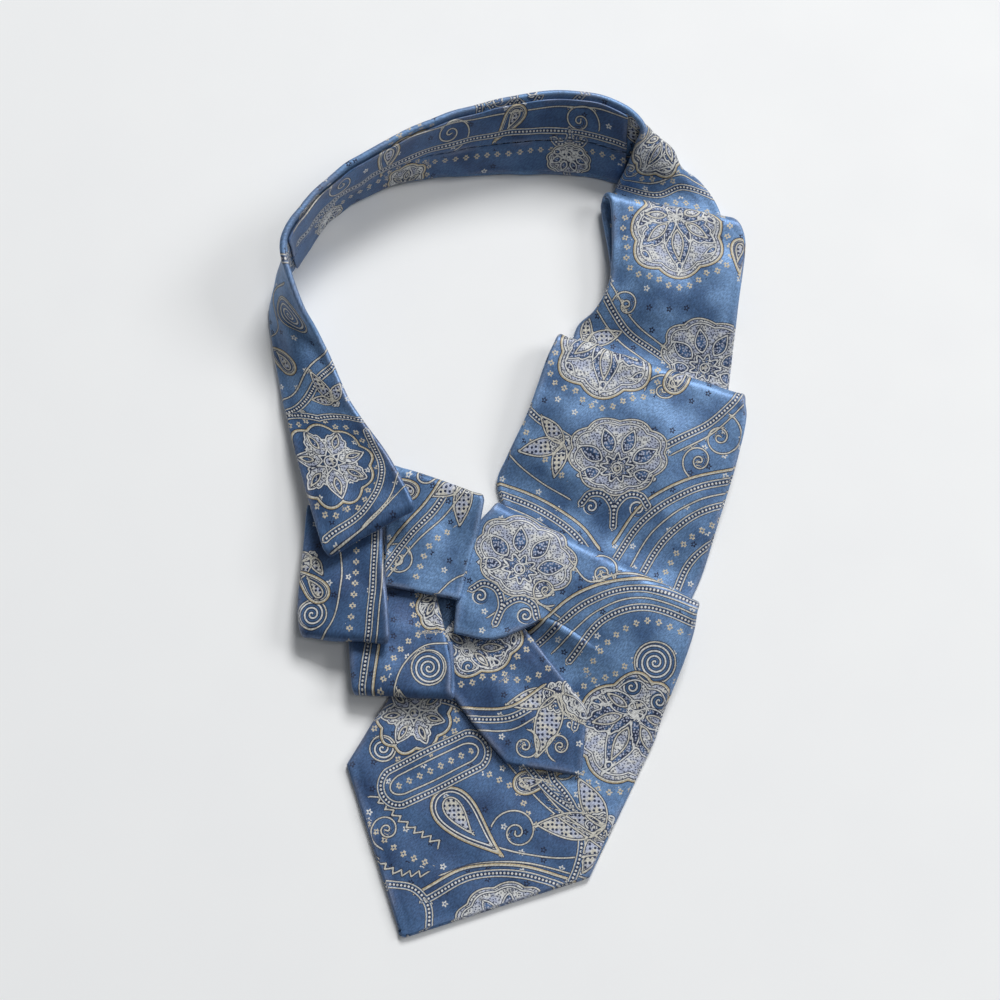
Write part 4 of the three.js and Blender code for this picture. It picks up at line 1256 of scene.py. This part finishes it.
# Twisted silk thread: a soft gleam along each stitch, darker where the plies turn in.
thread = bpy.data.materials.new("slate_blue_silk_thread")
thread.use_nodes = True
tree = thread.node_tree
twist = tree.nodes["Principled BSDF"]
twist.inputs["IOR"].default_value = SILK_IOR
ply = add(tree, "TexNoise", add(tree, "TexCoord", out=3), None, 1 / (PLY * MM))
yarn = add(tree, "MixRGB", ply, linear("#8fa3bf"), linear("#4d648a"))
tree.links.new(yarn, twist.inputs["Base Color"])
rough = add(tree, "MapRange", ply, NOISE_LOW, NOISE_HIGH, *PLY_ROUGH)
tree.links.new(rough, twist.inputs["Roughness"])
plies = add(tree, "Bump", PLY_STRENGTH, PLY_RELIEF * MM).node
tree.links.new(ply, plies.inputs["Height"])
tree.links.new(plies.outputs[0], twist.inputs["Normal"])
print("thread nodes:", len(tree.nodes))

# %% [markdown]
# ## Slip stitches
# The two folded edges of the silk are closed by hand on the inside of the band. The thread is slack, so that
# the finished neckpiece can stretch, and shows only as short slanting stitches across the seam. They follow a
# path, so Geometry Nodes place them.

# %% Slip stitches
THREAD = 0.2  # mm, thread radius, a little thicker than life so that it shows
STITCH = 1.3  # mm, half the length of a stitch
STITCH_GAP = 4.2  # mm from one stitch to the next
STITCH_SIDES, STITCH_RINGS = 8, 6  # facets of a stitch
SLANT_LEAST, SLANT_MOST = (0.35, -0.1, 0), (0.75, 0.1, 0)  # radians
SLANT_SEED = 7
SEAM_SHARE = 0.45  # of the band's width, where the two edges meet
SEAM_PROUD = 0.3  # mm from the middle of a flap to the middle of the thread
SEAM_ENDS = 4, 3  # rows of points at the ends of the band that stay unsewn

seam_column = round(SEAM_SHARE * (neck.shape[1] - 1))
seam = neck - (FLAP_OFF + SEAM_PROUD) * neck_normals
seam = seam[band_first + SEAM_ENDS[0]:band_last - SEAM_ENDS[1], seam_column]
path = bpy.data.meshes.new("slip_stitches")
path.from_pydata((seam - LAID_CENTRE) * MM, [(k, k + 1) for k in range(len(seam) - 1)], [])
stitches = bpy.data.objects.new("slip_stitches", path)
bpy.context.collection.objects.link(stitches)

group = bpy.data.node_groups.new("stitch_row", "GeometryNodeTree")
group.interface.new_socket("Path", in_out="INPUT", socket_type="NodeSocketGeometry")
sizes = {"Spacing": STITCH_GAP * MM, "Thread": THREAD * MM, "Half length": STITCH * MM}
sockets = {}
for name in sizes:
    socket = group.interface.new_socket(name, in_out="INPUT", socket_type="NodeSocketFloat")
    sockets[name] = socket.identifier
group.interface.new_socket("Stitches", in_out="OUTPUT", socket_type="NodeSocketGeometry")
given = add(group, "NodeGroupInput").node.outputs
curve = add(group, "GeometryNodeMeshToCurve", given["Path"])
spots = add(group, "GeometryNodeCurveToPoints", curve, None, given["Spacing"], mode="LENGTH").node.outputs
stitch = add(group, "GeometryNodeMeshUVSphere", STITCH_SIDES, STITCH_RINGS, 1.0)
slant = add(group, "FunctionNodeRandomValue", SLANT_LEAST, SLANT_MOST, data_type="FLOAT_VECTOR").node
slant.inputs["Seed"].default_value = SLANT_SEED
turn = add(group, "FunctionNodeRotateRotation", spots["Rotation"], slant.outputs[0], rotation_space="LOCAL")
size = add(group, "CombineXYZ", given["Thread"], given["Thread"], given["Half length"])
sewn = add(group, "GeometryNodeInstanceOnPoints", spots["Points"], None, stitch, None, None, turn, size)
sewn = add(group, "GeometryNodeSetMaterial", add(group, "GeometryNodeRealizeInstances", sewn), None, thread)
group.links.new(sewn, group.nodes.new("NodeGroupOutput").inputs["Stitches"])

sewing = stitches.modifiers.new("stitch_row", "NODES")
sewing.node_group = group
for name, identifier in sockets.items():
    sewing[identifier] = sizes[name]
made = bpy.data.meshes.new_from_object(stitches.evaluated_get(bpy.context.evaluated_depsgraph_get()))
stitches.modifiers.remove(sewing)
stitches.data = made
made.shade_smooth()
print("stitches:", len(made.polygons), "faces")

# %% [markdown]
# ## Table
# The cravat lies on a plain white table. It stays out of the part, and it lies a hair lower than the silk, so
# that the two never share a face.

# %% Table
TABLE_HALF = 3.0  # m, far past the picture's edge
TABLE_DROP = 0.2  # mm below the cravat
TABLE_FLECK = 40  # mm, size of the paint's unevenness
PAINT_ROUGH = 0.62, 0.66

corners = [(x * TABLE_HALF, y * TABLE_HALF, 0) for x, y in ((-1, -1), (1, -1), (1, 1), (-1, 1))]
floor_mesh = bpy.data.meshes.new("floor")
floor_mesh.from_pydata(corners, [], [(0, 1, 2, 3)])
floor = bpy.data.objects.new("floor", floor_mesh)
floor.location.z = -TABLE_DROP * MM
bpy.context.collection.objects.link(floor)
# Matt white paint: it takes soft shadows and shows no gleam, only the faintest unevenness.
paint = bpy.data.materials.new("matt_white_paint")
paint.use_nodes = True
tree = paint.node_tree
coat = tree.nodes["Principled BSDF"]
flecks = add(tree, "TexNoise", add(tree, "TexCoord", out=3), None, 1 / (TABLE_FLECK * MM))
tree.links.new(add(tree, "MixRGB", flecks, linear("#f1f2f2"), linear("#edeeef")), coat.inputs["Base Color"])
rough = add(tree, "MapRange", flecks, NOISE_LOW, NOISE_HIGH, *PAINT_ROUGH)
tree.links.new(rough, coat.inputs["Roughness"])
floor_mesh.materials.append(paint)
print("table:", 2 * TABLE_HALF, "m wide")

# %% [markdown]
# ## Light
# The cravat lies by a window. The large soft light behind it brightens the tops of the folds, the one on the
# right models the pleats, and a small one overhead opens the shadows. Area lights give the soft edges that
# a sun lamp would not.

# %% Light
from mathutils import Vector

Lamp = namedtuple("Lamp", "name place wide power")  # m and watts
LAMPS = [
    Lamp("window", (1.8, 5.1, 4.8), 2.4, 445),
    Lamp("side_window", (3.9, 1.2, 2.7), 1.8, 83),
    Lamp("softbox", (1.0, -0.4, 3.0), 0.8, 9),
]
SKY_COLOUR, SKY_POWER = (0.92, 0.96, 1, 1), 0.14

world = bpy.data.worlds.new("soft_daylight")
world.use_nodes = True
sky = world.node_tree.nodes["Background"]
sky.inputs["Color"].default_value = SKY_COLOUR
sky.inputs["Strength"].default_value = SKY_POWER
bpy.context.scene.world = world
bpy.context.scene.view_settings.view_transform = "Standard"
for lamp in LAMPS:
    light = bpy.data.lights.new(lamp.name, "AREA")
    light.energy = lamp.power
    light.size = lamp.wide
    hung = bpy.data.objects.new(lamp.name, light)
    hung.location = lamp.place
    hung.rotation_euler = (-Vector(lamp.place)).to_track_quat("-Z", "Y").to_euler()
    bpy.context.collection.objects.link(hung)
print("lamps:", len(LAMPS))

# %% [markdown]
# ## Handing over
# Each stretch and the stitches are attached to the root body, and the imported solids that a stretch
# stands in for are hidden. A cut would need its area as well, because no stretch is a plain rectangle; a
# named tuple for width, length and area is set up here, but no stretch is given one.

# %% Hand-over
Cut = namedtuple("Cut", "wide long area held on")  # mm and square mm
REPLACED = {"neck_run": ("left_front", "neckband", "right_shoulder")}
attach(stitches, "root")
for name, piece in pieces.items():
    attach(piece, "root")
    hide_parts(*REPLACED.get(name, (name,)))
print("sheets handed over:", len(pieces))
